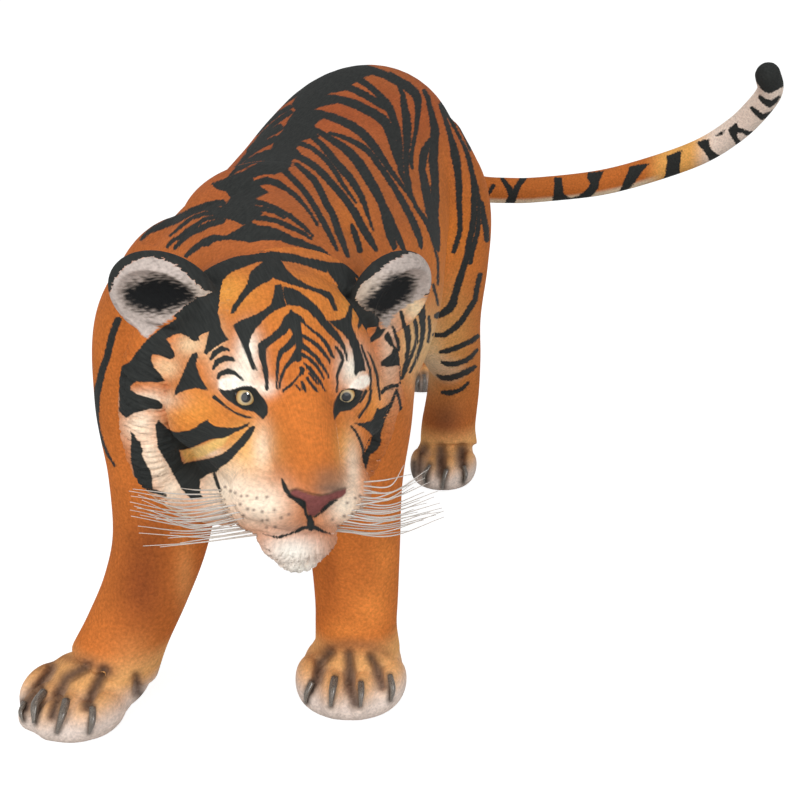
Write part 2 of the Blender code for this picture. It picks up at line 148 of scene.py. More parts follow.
# Soft round lamps: place, the spot they aim at, width and power in watts.
LAMPS = {
    "key": ((-1.3, -2.8, 1.9), (0, 0, 0.35), 1.8, 42),
    "fill": ((1.9, -2.6, 1.0), (0, 0, 0.3), 2.2, 34),
    "top": ((0.2, 0.6, 3.2), (0, 0, 0.4), 2.4, 10),
}

# The small lamp that the glass eyes mirror: the pixel of its mirror image in the right eye, its
# distance from the eye, width and power.
CATCH_LIGHT = (247.6, 393.4)
CATCH_REACH = 2.4
CATCH_SIZE = 0.5
CATCH_POWER = 60

# Eyes and ears.
EYE_SPACING = 0.112
EYE_RADIUS = 0.0185
EYE_SET_BACK = 0.009
LID_THICKNESS = 0.0045
EYE_TILT = 14.0
EAR_RADII = (0.063, 0.030, 0.048)
EAR_PLACE = (0.130, 0.128, 0.055)
EAR_LEAN = 0.014
EAR_TURN = 30.0
EAR_WALL = 0.013

# Paws and claws.
FRONT_PAW_WIDTH = 0.148
HIND_PAW_WIDTH = 0.122
TOE_HEIGHT = 0.060

# The body's stations give x in metres, y as a share of the back's length and z as a share
# of the hips' height. Trunk, from the chest back to the rump, with half width and half height.
TRUNK = [
    (0.050, -0.170, 0.855, 0.060, 0.070),
    (0.042, -0.125, 0.829, 0.118, 0.142),
    (0.030, -0.050, 0.827, 0.160, 0.184),
    (0.016, 0.040, 0.838, 0.187, 0.195),
    (0.005, 0.150, 0.833, 0.201, 0.206),
    (-0.006, 0.290, 0.846, 0.200, 0.205),
    (-0.024, 0.450, 0.884, 0.190, 0.206),
    (-0.038, 0.600, 0.946, 0.180, 0.199),
    (-0.042, 0.740, 0.993, 0.175, 0.190),
    (-0.046, 0.860, 0.996, 0.150, 0.168),
    (-0.046, 0.950, 0.985, 0.102, 0.126),
    (-0.046, 1.000, 0.978, 0.044, 0.064),
]

# Neck, from the withers forward into the back of the skull.
NECK = [
    (-0.010, 0.160, 0.927, 0.130, 0.135),
    (0.020, 0.030, 0.945, 0.138, 0.140),
    (0.062, -0.070, 0.936, 0.132, 0.135),
    (0.100, -0.150, 0.909, 0.118, 0.122),
]

# Shoulders, withers, brisket and haunches: the middle of each muscle and its radii.
MUSCLES = [
    ((-0.095, 0.045, 0.891), (0.094, 0.130, 0.125)),
    ((0.108, 0.060, 0.873), (0.092, 0.125, 0.125)),
    ((-0.010, 0.110, 1.091), (0.100, 0.150, 0.075)),
    ((-0.005, -0.070, 0.645), (0.105, 0.095, 0.090)),
    ((0.086, 0.715, 0.855), (0.104, 0.150, 0.160)),
    ((-0.120, 0.790, 0.873), (0.110, 0.150, 0.160)),
]

# Each leg, from the body down to the top of the paw, with half width and half depth.
FRONT_RIGHT_LEG = [
    (-0.085, 0.060, 1.018, 0.070, 0.110),
    (-0.112, 0.035, 0.873, 0.090, 0.135),
    (-0.112, -0.005, 0.691, 0.088, 0.112),
    (-0.102, -0.045, 0.527, 0.073, 0.082),
    (-0.103, -0.072, 0.382, 0.063, 0.064),
    (-0.115, -0.100, 0.273, 0.057, 0.058),
    (-0.135, -0.124, 0.173, 0.056, 0.056),
    (-0.152, -0.140, 0.091, 0.060, 0.062),
]
FRONT_LEFT_LEG = [
    (0.105, 0.070, 1.018, 0.055, 0.095),
    (0.130, 0.045, 0.873, 0.078, 0.120),
    (0.141, 0.010, 0.691, 0.076, 0.100),
    (0.143, -0.007, 0.527, 0.066, 0.078),
    (0.148, -0.014, 0.364, 0.060, 0.062),
    (0.151, -0.020, 0.236, 0.056, 0.057),
    (0.151, -0.024, 0.155, 0.055, 0.056),
    (0.153, -0.026, 0.082, 0.058, 0.060),
]
HIND_LEFT_LEG = [
    (0.036, 0.800, 1.091, 0.080, 0.120),
    (0.086, 0.740, 0.909, 0.094, 0.150),
    (0.106, 0.690, 0.727, 0.086, 0.140),
    (0.120, 0.680, 0.545, 0.066, 0.095),
    (0.128, 0.730, 0.382, 0.050, 0.066),
    (0.126, 0.740, 0.255, 0.049, 0.054),
    (0.124, 0.710, 0.145, 0.051, 0.054),
    (0.128, 0.695, 0.082, 0.054, 0.056),
]
HIND_RIGHT_LEG = [
    (-0.120, 0.800, 1.091, 0.080, 0.120),
    (-0.150, 0.790, 0.909, 0.088, 0.145),
    (-0.125, 0.810, 0.727, 0.080, 0.125),
    (-0.090, 0.900, 0.564, 0.060, 0.090),
    (-0.058, 1.060, 0.418, 0.048, 0.060),
    (-0.040, 1.150, 0.273, 0.047, 0.052),
    (-0.032, 1.165, 0.164, 0.049, 0.054),
    (-0.030, 1.155, 0.082, 0.052, 0.056),
]

# Where each paw stands (x, y), and the way its toes point, in degrees towards the left.
FRONT_RIGHT_PAW = (-0.172, -0.166, -22.0)
FRONT_LEFT_PAW = (0.149, -0.034, 10.0)
HIND_LEFT_PAW = (0.125, 0.676, 6.0)
HIND_RIGHT_PAW = (-0.026, 1.155, 4.0)
PAWS = [
    (FRONT_RIGHT_PAW, FRONT_PAW_WIDTH),
    (FRONT_LEFT_PAW, FRONT_PAW_WIDTH),
    (HIND_LEFT_PAW, HIND_PAW_WIDTH),
    (HIND_RIGHT_PAW, HIND_PAW_WIDTH),
]

# The toes' places across a paw, as shares of its half width, and their reach ahead of it.
TOES = [(-0.72, 0.038), (-0.25, 0.064), (0.25, 0.064), (0.72, 0.038)]

# Tail: x as a share of its swing from the root, y, z, radius.
TAIL_ROOT = -0.046
TAIL = [
    (0.000, 0.960, 1.073, 0.036),
    (0.023, 1.030, 1.018, 0.033),
    (0.094, 1.085, 0.891, 0.029),
    (0.194, 1.112, 0.822, 0.027),
    (0.301, 1.128, 0.811, 0.0265),
    (0.399, 1.140, 0.818, 0.026),
    (0.561, 1.138, 0.853, 0.026),
    (0.703, 1.121, 0.915, 0.0255),
    (0.839, 1.083, 1.000, 0.025),
    (0.927, 1.047, 1.091, 0.0245),
    (0.979, 1.005, 1.178, 0.024),
    (1.003, 0.967, 1.247, 0.0235),
    (0.991, 0.934, 1.304, 0.0225),
]

# Head: the middle of the eye line as a body station, the head's turns in degrees, and the
# stations of its forms in head coordinates (left, back, up), with half width and half height.
EYE_LINE = (0.161, -0.2725, 0.923)
HEAD_YAW = 34.0
HEAD_PITCH = 11.8
HEAD_ROLL = 5.4
SKULL = [
    (0, 0.200, 0.000, 0.084, 0.076),
    (0, 0.145, 0.000, 0.106, 0.092),
    (0, 0.095, -0.012, 0.116, 0.098),
    (0, 0.048, -0.032, 0.112, 0.092),
    (0, 0.012, -0.052, 0.098, 0.068),
    (0, -0.016, -0.066, 0.080, 0.050),
    (0, -0.046, -0.074, 0.062, 0.042),
    (0, -0.074, -0.076, 0.048, 0.036),
    (0, -0.092, -0.076, 0.034, 0.030),
    (0, -0.104, -0.075, 0.018, 0.016),
]
NOSE_BRIDGE = [
    (0, 0.030, 0.008, 0.046, 0.036),
    (0, -0.014, -0.010, 0.039, 0.033),
    (0, -0.044, -0.025, 0.036, 0.030),
    (0, -0.072, -0.041, 0.033, 0.027),
    (0, -0.094, -0.052, 0.029, 0.022),
    (0, -0.106, -0.058, 0.018, 0.014),
]
RUFF = [
    (0.110, 0.126, 0.022, 0.030, 0.030),
    (0.118, 0.114, -0.018, 0.038, 0.038),
    (0.120, 0.104, -0.062, 0.041, 0.042),
    (0.116, 0.096, -0.106, 0.040, 0.041),
    (0.102, 0.086, -0.143, 0.037, 0.038),
    (0.072, 0.056, -0.152, 0.034, 0.036),
    (0.042, 0.018, -0.140, 0.028, 0.032),
]


def spot_of(x, y, z):
    """A station's place in metres."""
    return x, y * BACK_LENGTH, z * HIP_HEIGHT


def body_path(stations):
    """A body path's stations as points in space, each with its radii."""
    return [(*spot_of(x, y, z), *radii) for x, y, z, *radii in stations]


def head_frame():
    """Head coordinates (left, back, up) from the eye line, as a matrix."""
    turn = (
        Matrix.Rotation(math.radians(HEAD_YAW), 4, "Z")
        @ Matrix.Rotation(math.radians(HEAD_PITCH), 4, "X")
        @ Matrix.Rotation(math.radians(HEAD_ROLL), 4, "Y")
    )
    return Matrix.Translation(spot_of(*EYE_LINE)) @ turn


HEAD = head_frame()


def degrees(x, y, z):
    """A turn by degrees about X, then Y, then Z."""
    return (
        Matrix.Rotation(math.radians(z), 4, "Z")
        @ Matrix.Rotation(math.radians(y), 4, "Y")
        @ Matrix.Rotation(math.radians(x), 4, "X")
    )


def eye_frame(side):
    """The frame of an eye's ball; side is 1 for the left eye and -1 for the right."""
    place = Matrix.Translation((side * EYE_SPACING / 2, EYE_SET_BACK, 0))
    return HEAD @ place @ degrees(0, -side * EYE_TILT, 0)


# The way from the sculptor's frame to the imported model's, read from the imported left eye.
SHIFT = Vector([(a + b) / 2 for a, b in zip(*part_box("eye_left"))]) - eye_frame(1).translation


def add_mesh(name, bm):
    """An object made of the mesh, which is then freed."""
    mesh = bpy.data.meshes.new(name)
    bm.to_mesh(mesh)
    bm.free()
    item = bpy.data.objects.new(name, mesh)
    bpy.context.scene.collection.objects.link(item)
    return item


def apply_modifiers(item):
    """Keeps the shape that the modifiers give."""
    graph = bpy.context.evaluated_depsgraph_get()
    mesh = bpy.data.meshes.new_from_object(item.evaluated_get(graph))
    item.modifiers.clear()
    item.data = mesh


def smooth_path(stations, steps):
    """Catmull-Rom values between the stations, with each station kept."""
    values = np.array(stations, float)
    padded = np.vstack([2 * values[0] - values[1], values, 2 * values[-1] - values[-2]])
    path = []
    for i in range(len(values) - 1):
        a, b, c, d = padded[i : i + 4]
        for k in range(steps):
            t = k / steps
            curve = 2 * b + (c - a) * t + (2 * a - 5 * b + 4 * c - d) * t**2
            path.append(0.5 * (curve + (3 * b - a - 3 * c + d) * t**3))
    path.append(values[-1])
    return np.array(path)


def loft(
    bm, stations, depth_way, place=Matrix.Identity(4), points=RING_POINTS, steps=RINGS_PER_SPAN
):
    """A closed skin through elliptical rings; depth_way is the way the second radius points."""
    path = smooth_path(stations, steps)
    centres = [Vector(row[:3]) for row in path]
    rings = []
    for i, centre in enumerate(centres):
        along = centres[min(i + 1, len(centres) - 1)] - centres[max(i - 1, 0)]
        side = along.cross(Vector(depth_way)).normalized()
        depth = side.cross(along).normalized()
        across, deep = path[i][3], path[i][4]
        ring = []
        for k in range(points):
            angle = 2 * math.pi * k / points
            spot = centre + side * math.cos(angle) * across + depth * math.sin(angle) * deep
            ring.append(bm.verts.new(place @ spot))
        rings.append(ring)
    faces = [bm.faces.new(rings[0][::-1]), bm.faces.new(rings[-1])]
    for low, high in zip(rings, rings[1:]):
        for k in range(points):
            j = (k + 1) % points
            faces.append(bm.faces.new((low[k], low[j], high[j], high[k])))
    bmesh.ops.recalc_face_normals(bm, faces=faces)


def blob(bm, centre, radii, turn=(0, 0, 0), place=Matrix.Identity(4), finish=4):
    """An ellipsoid of clay, turned by degrees about X, Y, Z, in the given frame."""
    matrix = place @ Matrix.Translation(centre) @ degrees(*turn) @ Matrix.Diagonal((*radii, 1))
    bmesh.ops.create_icosphere(bm, subdivisions=finish, radius=1, matrix=matrix)


def pair(bm, centre, radii, turn=(0, 0, 0), place=HEAD):
    """The same blob on both sides of the head."""
    x, y, z = centre
    blob(bm, (x, y, z), radii, turn, place)
    blob(bm, (-x, y, z), radii, (turn[0], -turn[1], -turn[2]), place)


def shape_front(bm):
    """The neck, shoulders, withers, brisket and haunches, which the head's own skin needs too."""
    loft(bm, body_path(NECK), (0, 0, 1))
    for centre, radii in MUSCLES:
        blob(bm, spot_of(*centre), radii)


def shape_paw(bm, place, width):
    """Four toes with their knuckles, the heel and the broad pad under them."""
    x, y, turn = place
    stand = Matrix.Translation(spot_of(x, y, 0)) @ degrees(0, 0, turn)
    half = width / 2
    for across, ahead in TOES:
        centre = Vector((across * half, -ahead, TOE_HEIGHT * 0.42))
        blob(bm, centre, (half * 0.28, 0.041, TOE_HEIGHT * 0.50), (0, 0, -across * 14), stand)
        knuckle = centre + Vector((-across * 0.008, 0.032, 0.004))
        blob(bm, knuckle, (half * 0.27, 0.036, TOE_HEIGHT * 0.44), (18, 0, 0), stand)
    blob(bm, (0, 0.014, 0.031), (half * 0.85, half * 0.95, 0.040), (0, 0, 0), stand)
    blob(bm, (0, -0.040, 0.016), (half * 0.96, 0.057, 0.031), (0, 0, 0), stand)


def ear_frame(side):
    """The place and turn of one ear's shell, as a matrix."""
    x, y, z = EAR_PLACE
    place = Matrix.Translation((side * x + EAR_LEAN, y, z))
    return HEAD @ place @ degrees(-6, -side * 10, side * EAR_TURN)


def shape_ear(bm, side):
    """A cupped shell: the hollow is an ellipsoid moved forward out of the shell."""
    shell = bmesh.new()
    blob(shell, (0, 0, 0), EAR_RADII, place=ear_frame(side), finish=5)
    item = add_mesh("ear", shell)
    inner = [radius - EAR_WALL for radius in EAR_RADII]
    hollow = bmesh.new()
    middle = (0, -EAR_RADII[1] * 0.95, -0.002)
    blob(hollow, middle, (inner[0], EAR_RADII[1], inner[2]), place=ear_frame(side), finish=5)
    cutter = add_mesh("hollow", hollow)
    cut = item.modifiers.new("Hollow", "BOOLEAN")
    cut.operation = "DIFFERENCE"
    cut.object = cutter
    apply_modifiers(item)
    bm.from_mesh(item.data)
    bpy.data.objects.remove(cutter)
    bpy.data.objects.remove(item)


def shape_head(bm):
    """Skull, bridge, forehead, brows, cheekbones, nose, whisker pads, chin, jaw, throat, ears."""
    loft(bm, SKULL, (0, 0, 1), HEAD)
    loft(bm, NOSE_BRIDGE, (0, 0, 1), HEAD)
    blob(bm, (0, 0.062, 0.014), (0.070, 0.062, 0.066), place=HEAD)
    pair(bm, (0.050, 0.026, 0.021), (0.034, 0.026, 0.018), (0, 14, 0))
    pair(bm, (0.082, 0.044, -0.036), (0.040, 0.046, 0.046))
    blob(bm, (0, -0.097, -0.055), (0.031, 0.015, 0.019), place=HEAD)
    pair(bm, (0.026, -0.078, -0.074), (0.031, 0.030, 0.028), (0, 0, 12))
    pair(bm, (0.044, -0.054, -0.076), (0.030, 0.038, 0.028), (0, 0, 24))
    blob(bm, (0, -0.064, -0.124), (0.042, 0.038, 0.036), place=HEAD)
    blob(bm, (0, -0.074, -0.144), (0.026, 0.022, 0.020), place=HEAD)
    pair(bm, (0.036, -0.012, -0.106), (0.040, 0.064, 0.032))
    blob(bm, (0, 0.070, -0.085), (0.090, 0.085, 0.070), place=HEAD)
    for side in (1, -1):
        loft(bm, [(side * x, *rest) for x, *rest in RUFF], (0, -1, 0), HEAD)
        blob(bm, (0, 0, 0), (EYE_RADIUS + LID_THICKNESS,) * 3, place=eye_frame(side))
        shape_ear(bm, side)


def tail_path():
    """The tail's stations in metres, from root to tip."""
    root = TAIL_ROOT
    return [(*spot_of(root + x * TAIL_SWING, y, z), radius, radius) for x, y, z, radius in TAIL]


def shape_body(bm):
    """Trunk, legs, paws and tail."""
    loft(bm, body_path(TRUNK), (0, 0, 1))
    for leg in (FRONT_RIGHT_LEG, FRONT_LEFT_LEG, HIND_LEFT_LEG, HIND_RIGHT_LEG):
        loft(bm, body_path(leg), (0, -1, 0))
    for place, width in PAWS:
        shape_paw(bm, place, width)
    path = tail_path()
    loft(bm, path, (0, 1, 0))
    *tip, radius, _ = path[-1]
    blob(bm, tip, (radius,) * 3)


def fuse(bm, voxel):
    """One softened skin round the clay, as points and quads."""
    item = add_mesh("clay", bm)
    join = item.modifiers.new("Join", "REMESH")
    join.mode = "VOXEL"
    join.voxel_size = voxel
    soften = item.modifiers.new("Soften", "SMOOTH")
    soften.factor = 0.5
    soften.iterations = round(CAD_SOFTENING * (CAD_VOXEL / voxel) ** 2)
    apply_modifiers(item)
    mesh = item.data
    points = np.empty(len(mesh.vertices) * 3)
    mesh.vertices.foreach_get("co", points)
    quads = np.empty(len(mesh.polygons) * 4, int)
    mesh.polygons.foreach_get("vertices", quads)
    bpy.data.objects.remove(item)
    return points.reshape(-1, 3), quads.reshape(-1, 4)


def to_local(points, matrix):
    """Points in the coordinates of the frame that the matrix gives."""
    inverse = np.array(matrix.inverted())
    return points @ inverse[:3, :3].T + inverse[:3, 3]


def to_world(points, matrix):
    """Points of the frame that the matrix gives, in the sculptor's coordinates."""
    table = np.array(matrix)
    return points @ table[:3, :3].T + table[:3, 3]


def vertex_normals(points, quads):
    """Normals of the points, weighted by the areas of the quads round them."""
    across = points[quads[:, 2]] - points[quads[:, 0]]
    along = points[quads[:, 3]] - points[quads[:, 1]]
    face = np.cross(across, along)
    normals = np.zeros_like(points)
    for corner in range(4):
        np.add.at(normals, quads[:, corner], face)
    return normals / np.maximum(np.linalg.norm(normals, axis=1, keepdims=True), 1e-12)


def keep_faces(points, quads, chosen):
    """The chosen quads with only the points they use."""
    quads = quads[chosen]
    used, index = np.unique(quads, return_inverse=True)
    return points[used], index.reshape(-1, 4), used


def smoothstep(low, high, value):
    """0 at low, 1 at high, with soft ends; low may be the greater of the two."""
    t = np.clip((value - low) / (high - low), 0, 1)
    return t * t * (3 - 2 * t)


def head_skin():
    """Points and quads of the head, cut off behind the ears."""
    bm = bmesh.new()
    loft(bm, body_path(TRUNK[:6]), (0, 0, 1))
    shape_front(bm)
    shape_head(bm)
    for leg in (FRONT_RIGHT_LEG, FRONT_LEFT_LEG):
        loft(bm, body_path(leg[:4]), (0, -1, 0))
    points, quads = fuse(bm, HEAD_VOXEL)
    return keep_faces(points, quads, belongs_to_head(points, HEAD_OVERLAP)[quads].all(axis=1))[:2]


def body_skin():
    """Points and quads of the whole clay but the head."""
    bm = bmesh.new()
    shape_body(bm)
    shape_front(bm)
    shape_head(bm)
    points, quads = fuse(bm, BODY_VOXEL)
    points[:, 2] = np.maximum(points[:, 2], 0)
    return keep_faces(points, quads, ~belongs_to_head(points, 0)[quads].all(axis=1))[:2]


def belongs_to_head(points, margin):
    """True for points on the head's side of a bent cut: behind the ears and under the jaw."""
    local = to_local(points, HEAD)
    behind = local[:, 1] < HEAD_CUT + margin
    above = local[:, 2] > JAW_CUT + JAW_SLOPE * np.maximum(local[:, 1], 0) - margin
    near = np.abs(local[:, 0]) < HEAD_REACH
    return behind & above & near


def photo_axes():
    """The photograph's camera: the way it looks, its right and its up."""
    sin_yaw, cos_yaw = math.sin(CAMERA_YAW), math.cos(CAMERA_YAW)
    sin_pitch, cos_pitch = math.sin(CAMERA_PITCH), math.cos(CAMERA_PITCH)
    forward = np.array((-sin_yaw * cos_pitch, cos_yaw * cos_pitch, -sin_pitch))
    right = np.array((cos_yaw, sin_yaw, 0))
    return forward, right, np.cross(right, forward)


def photo_pixels(points):
    """Where the points of the sculptor's frame fall in the photograph."""
    forward, right, up = photo_axes()
    offset = points - np.array(CAMERA_PLACE)
    depth = offset @ forward
    x = PHOTO_SIZE / 2 + PHOTO_FOCAL * (offset @ right) / depth
    y = PHOTO_SIZE / 2 - PHOTO_FOCAL * (offset @ up) / depth
    return np.stack([x, y], axis=1)


def photo_ray(x, y):
    """The way from the photograph's camera through one of its pixels."""
    forward, right, up = photo_axes()
    across, rise = x - PHOTO_SIZE / 2, PHOTO_SIZE / 2 - y
    return Vector(forward * PHOTO_FOCAL + right * across + up * rise).normalized()


def facing(points, normals):
    """How squarely each point faces the photograph's camera, from -1 to 1."""
    way = np.array(CAMERA_PLACE) - points
    return (way * normals).sum(axis=1) / np.linalg.norm(way, axis=1)


def skin_tree(points, quads):
    """The skin as a tree that rays can be cast on."""
    return BVHTree.FromPolygons(points.tolist(), quads.tolist())


def spot_on(tree, x, y):
    """The point of the skin that shows at a pixel of the photograph, and its normal."""
    place, normal, _, _ = tree.ray_cast(CAMERA_PLACE, photo_ray(x, y))
    return place, normal


def add_skin(name, points, quads, normals, attributes, chosen):
    """A piece made of the chosen quads, with its attributes and the whole skin's normals."""
    spots, faces, used = keep_faces(points, quads, chosen)
    mesh = bpy.data.meshes.new(name)
    mesh.from_pydata((spots + np.array(SHIFT)).tolist(), [], faces.tolist())
    for key, values in attributes.items():
        if values.ndim == 1:
            layer = mesh.attributes.new(key, "FLOAT", "POINT")
            layer.data.foreach_set("value", values[used])
        elif key == "fur":
            layer = mesh.attributes.new(key, "FLOAT_VECTOR", "POINT")
            layer.data.foreach_set("vector", values[used].ravel())
        else:
            layer = mesh.attributes.new(key, "FLOAT_COLOR", "POINT")
            full = np.hstack([values[used], np.ones((len(used), 1))])
            layer.data.foreach_set("color", full.ravel())
    mesh.shade_smooth()
    mesh.normals_split_custom_set_from_vertices(normals[used].tolist())
    item = bpy.data.objects.new(name, mesh)
    bpy.context.scene.collection.objects.link(item)
    return item


def linear(red, green, blue):
    """An sRGB colour of 0 to 255 as linear values."""
    values = np.array((red, green, blue)) / 255
    return tuple(np.where(values <= 0.04045, values / 12.92, ((values + 0.055) / 1.055) ** 2.4))


def fill(tree, item, inputs):
    """Sets each input of a node to a value, or joins it to another node's output."""
    for key, value in inputs.items():
        if isinstance(value, bpy.types.NodeSocket):
            tree.links.new(value, item.inputs[key])
        else:
            item.inputs[key].default_value = value


def node(tree, kind, inputs, output=0, **settings):
    """Adds a shader node with its inputs and settings, and gives back one of its outputs."""
    item = tree.nodes.new("ShaderNode" + kind)
    for key, value in settings.items():
        setattr(item, key, value)
    fill(tree, item, inputs)
    return item.outputs[output]


def add(tree, first, second, **settings):
    """The sum of two values."""
    return node(tree, "Math", {0: first, 1: second}, operation="ADD", **settings)


def attribute(tree, name, output):
    """A value that the mesh carries at its points."""
    return node(tree, "Attribute", {}, output, attribute_name=name)


def mix(tree, share, first, second, blend="MIX"):
    """Two colours mixed; the numbers are the colour sockets of a mix node."""
    inputs = {"Factor": share, 6: first, 7: second}
    return node(tree, "Mix", inputs, 2, data_type="RGBA", blend_type=blend)


def spread(tree, grain, low, high):
    """The usual range of a noise, stretched to low to high."""
    inputs = {"Value": grain, "From Min": 0.3, "From Max": 0.7, "To Min": low, "To Max": high}
    return node(tree, "MapRange", inputs)


def mottle(tree, scale, low, high):
    """A noise fixed to the object, from low to high."""
    place = node(tree, "TexCoord", {}, "Object")
    grain = node(tree, "TexNoise", {"Vector": place, "Scale": scale, "Detail": 3})
    return spread(tree, grain, low, high)


def ramp(tree, value, stops):
    """A colour ramp; each stop is its position and its colour."""
    item = tree.nodes.new("ShaderNodeValToRGB")
    fill(tree, item, {"Fac": value})
    marks = item.color_ramp.elements
    for i, (position, colour) in enumerate(stops):
        stop = marks[i] if i < 2 else marks.new(1)
        stop.position = position
        stop.color = paint_of(colour)
    return item.outputs["Color"]


def paint_of(colour):
    """An sRGB colour as an opaque socket value."""
    return (*linear(*colour), 1)


def material(name):
    """A new material with its node tree and its shader."""
    made = bpy.data.materials.new(name)
    made.use_nodes = True
    tree = made.node_tree
    return made, tree, tree.nodes["Principled BSDF"]


def grained(name, scale, stops, look):
    """A material whose colour wanders between the stops in fine grains."""
    made, tree, shader = material(name)
    grain = node(tree, "TexNoise", {"Scale": scale})
    fill(tree, shader, {"Base Color": ramp(tree, grain, stops), **look})
    return made


def painted_fur():
    """The coat's colour and black marks with hairy edges, read from the skin's attributes."""
    made, tree, shader = material("painted_fur")
    flow = attribute(tree, "fur", "Vector")
    streaks = node(tree, "TexNoise", {"Vector": flow, "Scale": 1.0, "Detail": 3})
    reach = {0: streaks, 1: FRINGE, 2: -FRINGE / 2}
    fringe = node(tree, "Math", reach, operation="MULTIPLY_ADD")
    edge = add(tree, attribute(tree, "stripe", "Fac"), fringe)
    soft = {"Value": edge, "From Min": -EDGE, "From Max": EDGE, "To Min": 1, "To Max": 0}
    black = node(tree, "MapRange", soft)
    speckle = mottle(tree, 260, 0.84, 1.14)
    clouds = mottle(tree, 14, 0.90, 1.08)
    grade = node(tree, "Math", {0: speckle, 1: clouds}, operation="MULTIPLY")
    coat = mix(tree, 1, attribute(tree, "coat", "Color"), grade, "MULTIPLY")
    coat = mix(tree, 0.5, coat, spread(tree, streaks, 0.75, 1.15), "MULTIPLY")
    soot = mix(tree, streaks, paint_of(SOOT), paint_of(WORN_SOOT))
    relief = add(tree, streaks, speckle)
    bump = node(tree, "Bump", {"Strength": 0.5, "Distance": 0.0014, "Height": relief})
    look = {"Normal": bump, "Roughness": 0.8, "Specular IOR Level": 0.1}
    fill(tree, shader, {"Base Color": mix(tree, black, coat, soot), **look})
    return made


def fur_flow(points, on_head):
    """Coordinates that change quickly across the hair and slowly along it."""
    if not on_head:
        return points * (300, 50, 300)
    local = to_local(points, HEAD)
    around = np.arctan2(local[:, 0], local[:, 2] + FACE_MIDDLE)
    back = np.linalg.norm(local - np.array((0, -0.10, -FACE_MIDDLE)), axis=1)
    return np.stack([np.sin(around), np.cos(around), back], axis=1) * 60


def set_camera():
    """The photograph's own camera."""
    data = bpy.data.cameras.new("camera")
    data.lens = PHOTO_FOCAL / PHOTO_SIZE * SENSOR
    data.sensor_width = SENSOR
    item = bpy.data.objects.new("camera", data)
    item.location = CAMERA_PLACE + SHIFT
    item.rotation_euler = (math.pi / 2 - CAMERA_PITCH, 0, CAMERA_YAW)
    bpy.context.scene.collection.objects.link(item)
    bpy.context.scene.camera = item


def white_floor():
    """A pale floor that shows pure white to the camera and keeps the tiger's shadow."""
    bm = bmesh.new()
    bmesh.ops.create_grid(bm, x_segments=1, y_segments=1, size=60)
    item = add_mesh("floor", bm)
    made, tree, shader = material("floor")
    tree.nodes.remove(shader)
    plain = node(tree, "BsdfDiffuse", {"Color": (0.42, 0.42, 0.42, 1)})
    direct = node(tree, "LightPath", {}, "Is Camera Ray")
    mirrored = node(tree, "LightPath", {}, "Is Glossy Ray")
    seen = add(tree, direct, mirrored, use_clamp=True)
    strength = node(tree, "Math", {0: seen, 1: 0.85}, operation="MULTIPLY")
    glow = node(tree, "Emission", {"Strength": strength})
    both = node(tree, "AddShader", {0: plain, 1: glow})
    fill(tree, tree.nodes["Material Output"], {"Surface": both})
    item.data.materials.append(made)


def set_world():
    """A plain white sky, dimmer as a light than it looks."""
    world = bpy.data.worlds.new("studio")
    world.use_nodes = True
    tree = world.node_tree
    direct = node(tree, "LightPath", {}, "Is Camera Ray")
    level = node(tree, "MapRange", {"Value": direct, "To Min": 0.55, "To Max": 1.0})
    fill(tree, tree.nodes["Background"], {"Color": (1, 1, 1, 1), "Strength": level})
    bpy.context.scene.world = world


def eye_spot(side, pixel):
    """An eye's centre, and the spot of its ball that shows at a pixel of the photograph."""
    centre = eye_frame(side).translation
    ray = photo_ray(*pixel)
    toward = centre - CAMERA_PLACE
    reach = toward.dot(ray)
    miss = toward.length_squared - reach**2
    return centre, CAMERA_PLACE + ray * (reach - math.sqrt(max(EYE_RADIUS**2 - miss, 0)))


def soft_lamp(name, place, aim, size, power):
    """A round lamp that shines on the spot it aims at."""
    data = bpy.data.lights.new(name, "AREA")
    data.shape = "DISK"
    data.size = size
    data.energy = power
    item = bpy.data.objects.new(name, data)
    item.location = place
    way = Vector(aim) - Vector(place)
    item.rotation_euler = way.to_track_quat("-Z", "Y").to_euler()
    bpy.context.scene.collection.objects.link(item)
    return item


def catch_light():
    """A small lamp that the glass eyes mirror to the camera at the top of the iris."""
    centre, spot = eye_spot(-1, CATCH_LIGHT)
    ray = photo_ray(*CATCH_LIGHT)
    normal = (spot - centre).normalized()
    lamp = spot + (ray - 2 * ray.dot(normal) * normal) * CATCH_REACH
    item = soft_lamp("catch", lamp + SHIFT, spot + SHIFT, CATCH_SIZE, CATCH_POWER)
    item.visible_diffuse = False


def light_studio():
    """Sky, the eyes' lamp, and a key, a fill and a top lamp."""
    set_world()
    catch_light()
    for name, lamp in LAMPS.items():
        soft_lamp(name, *lamp)
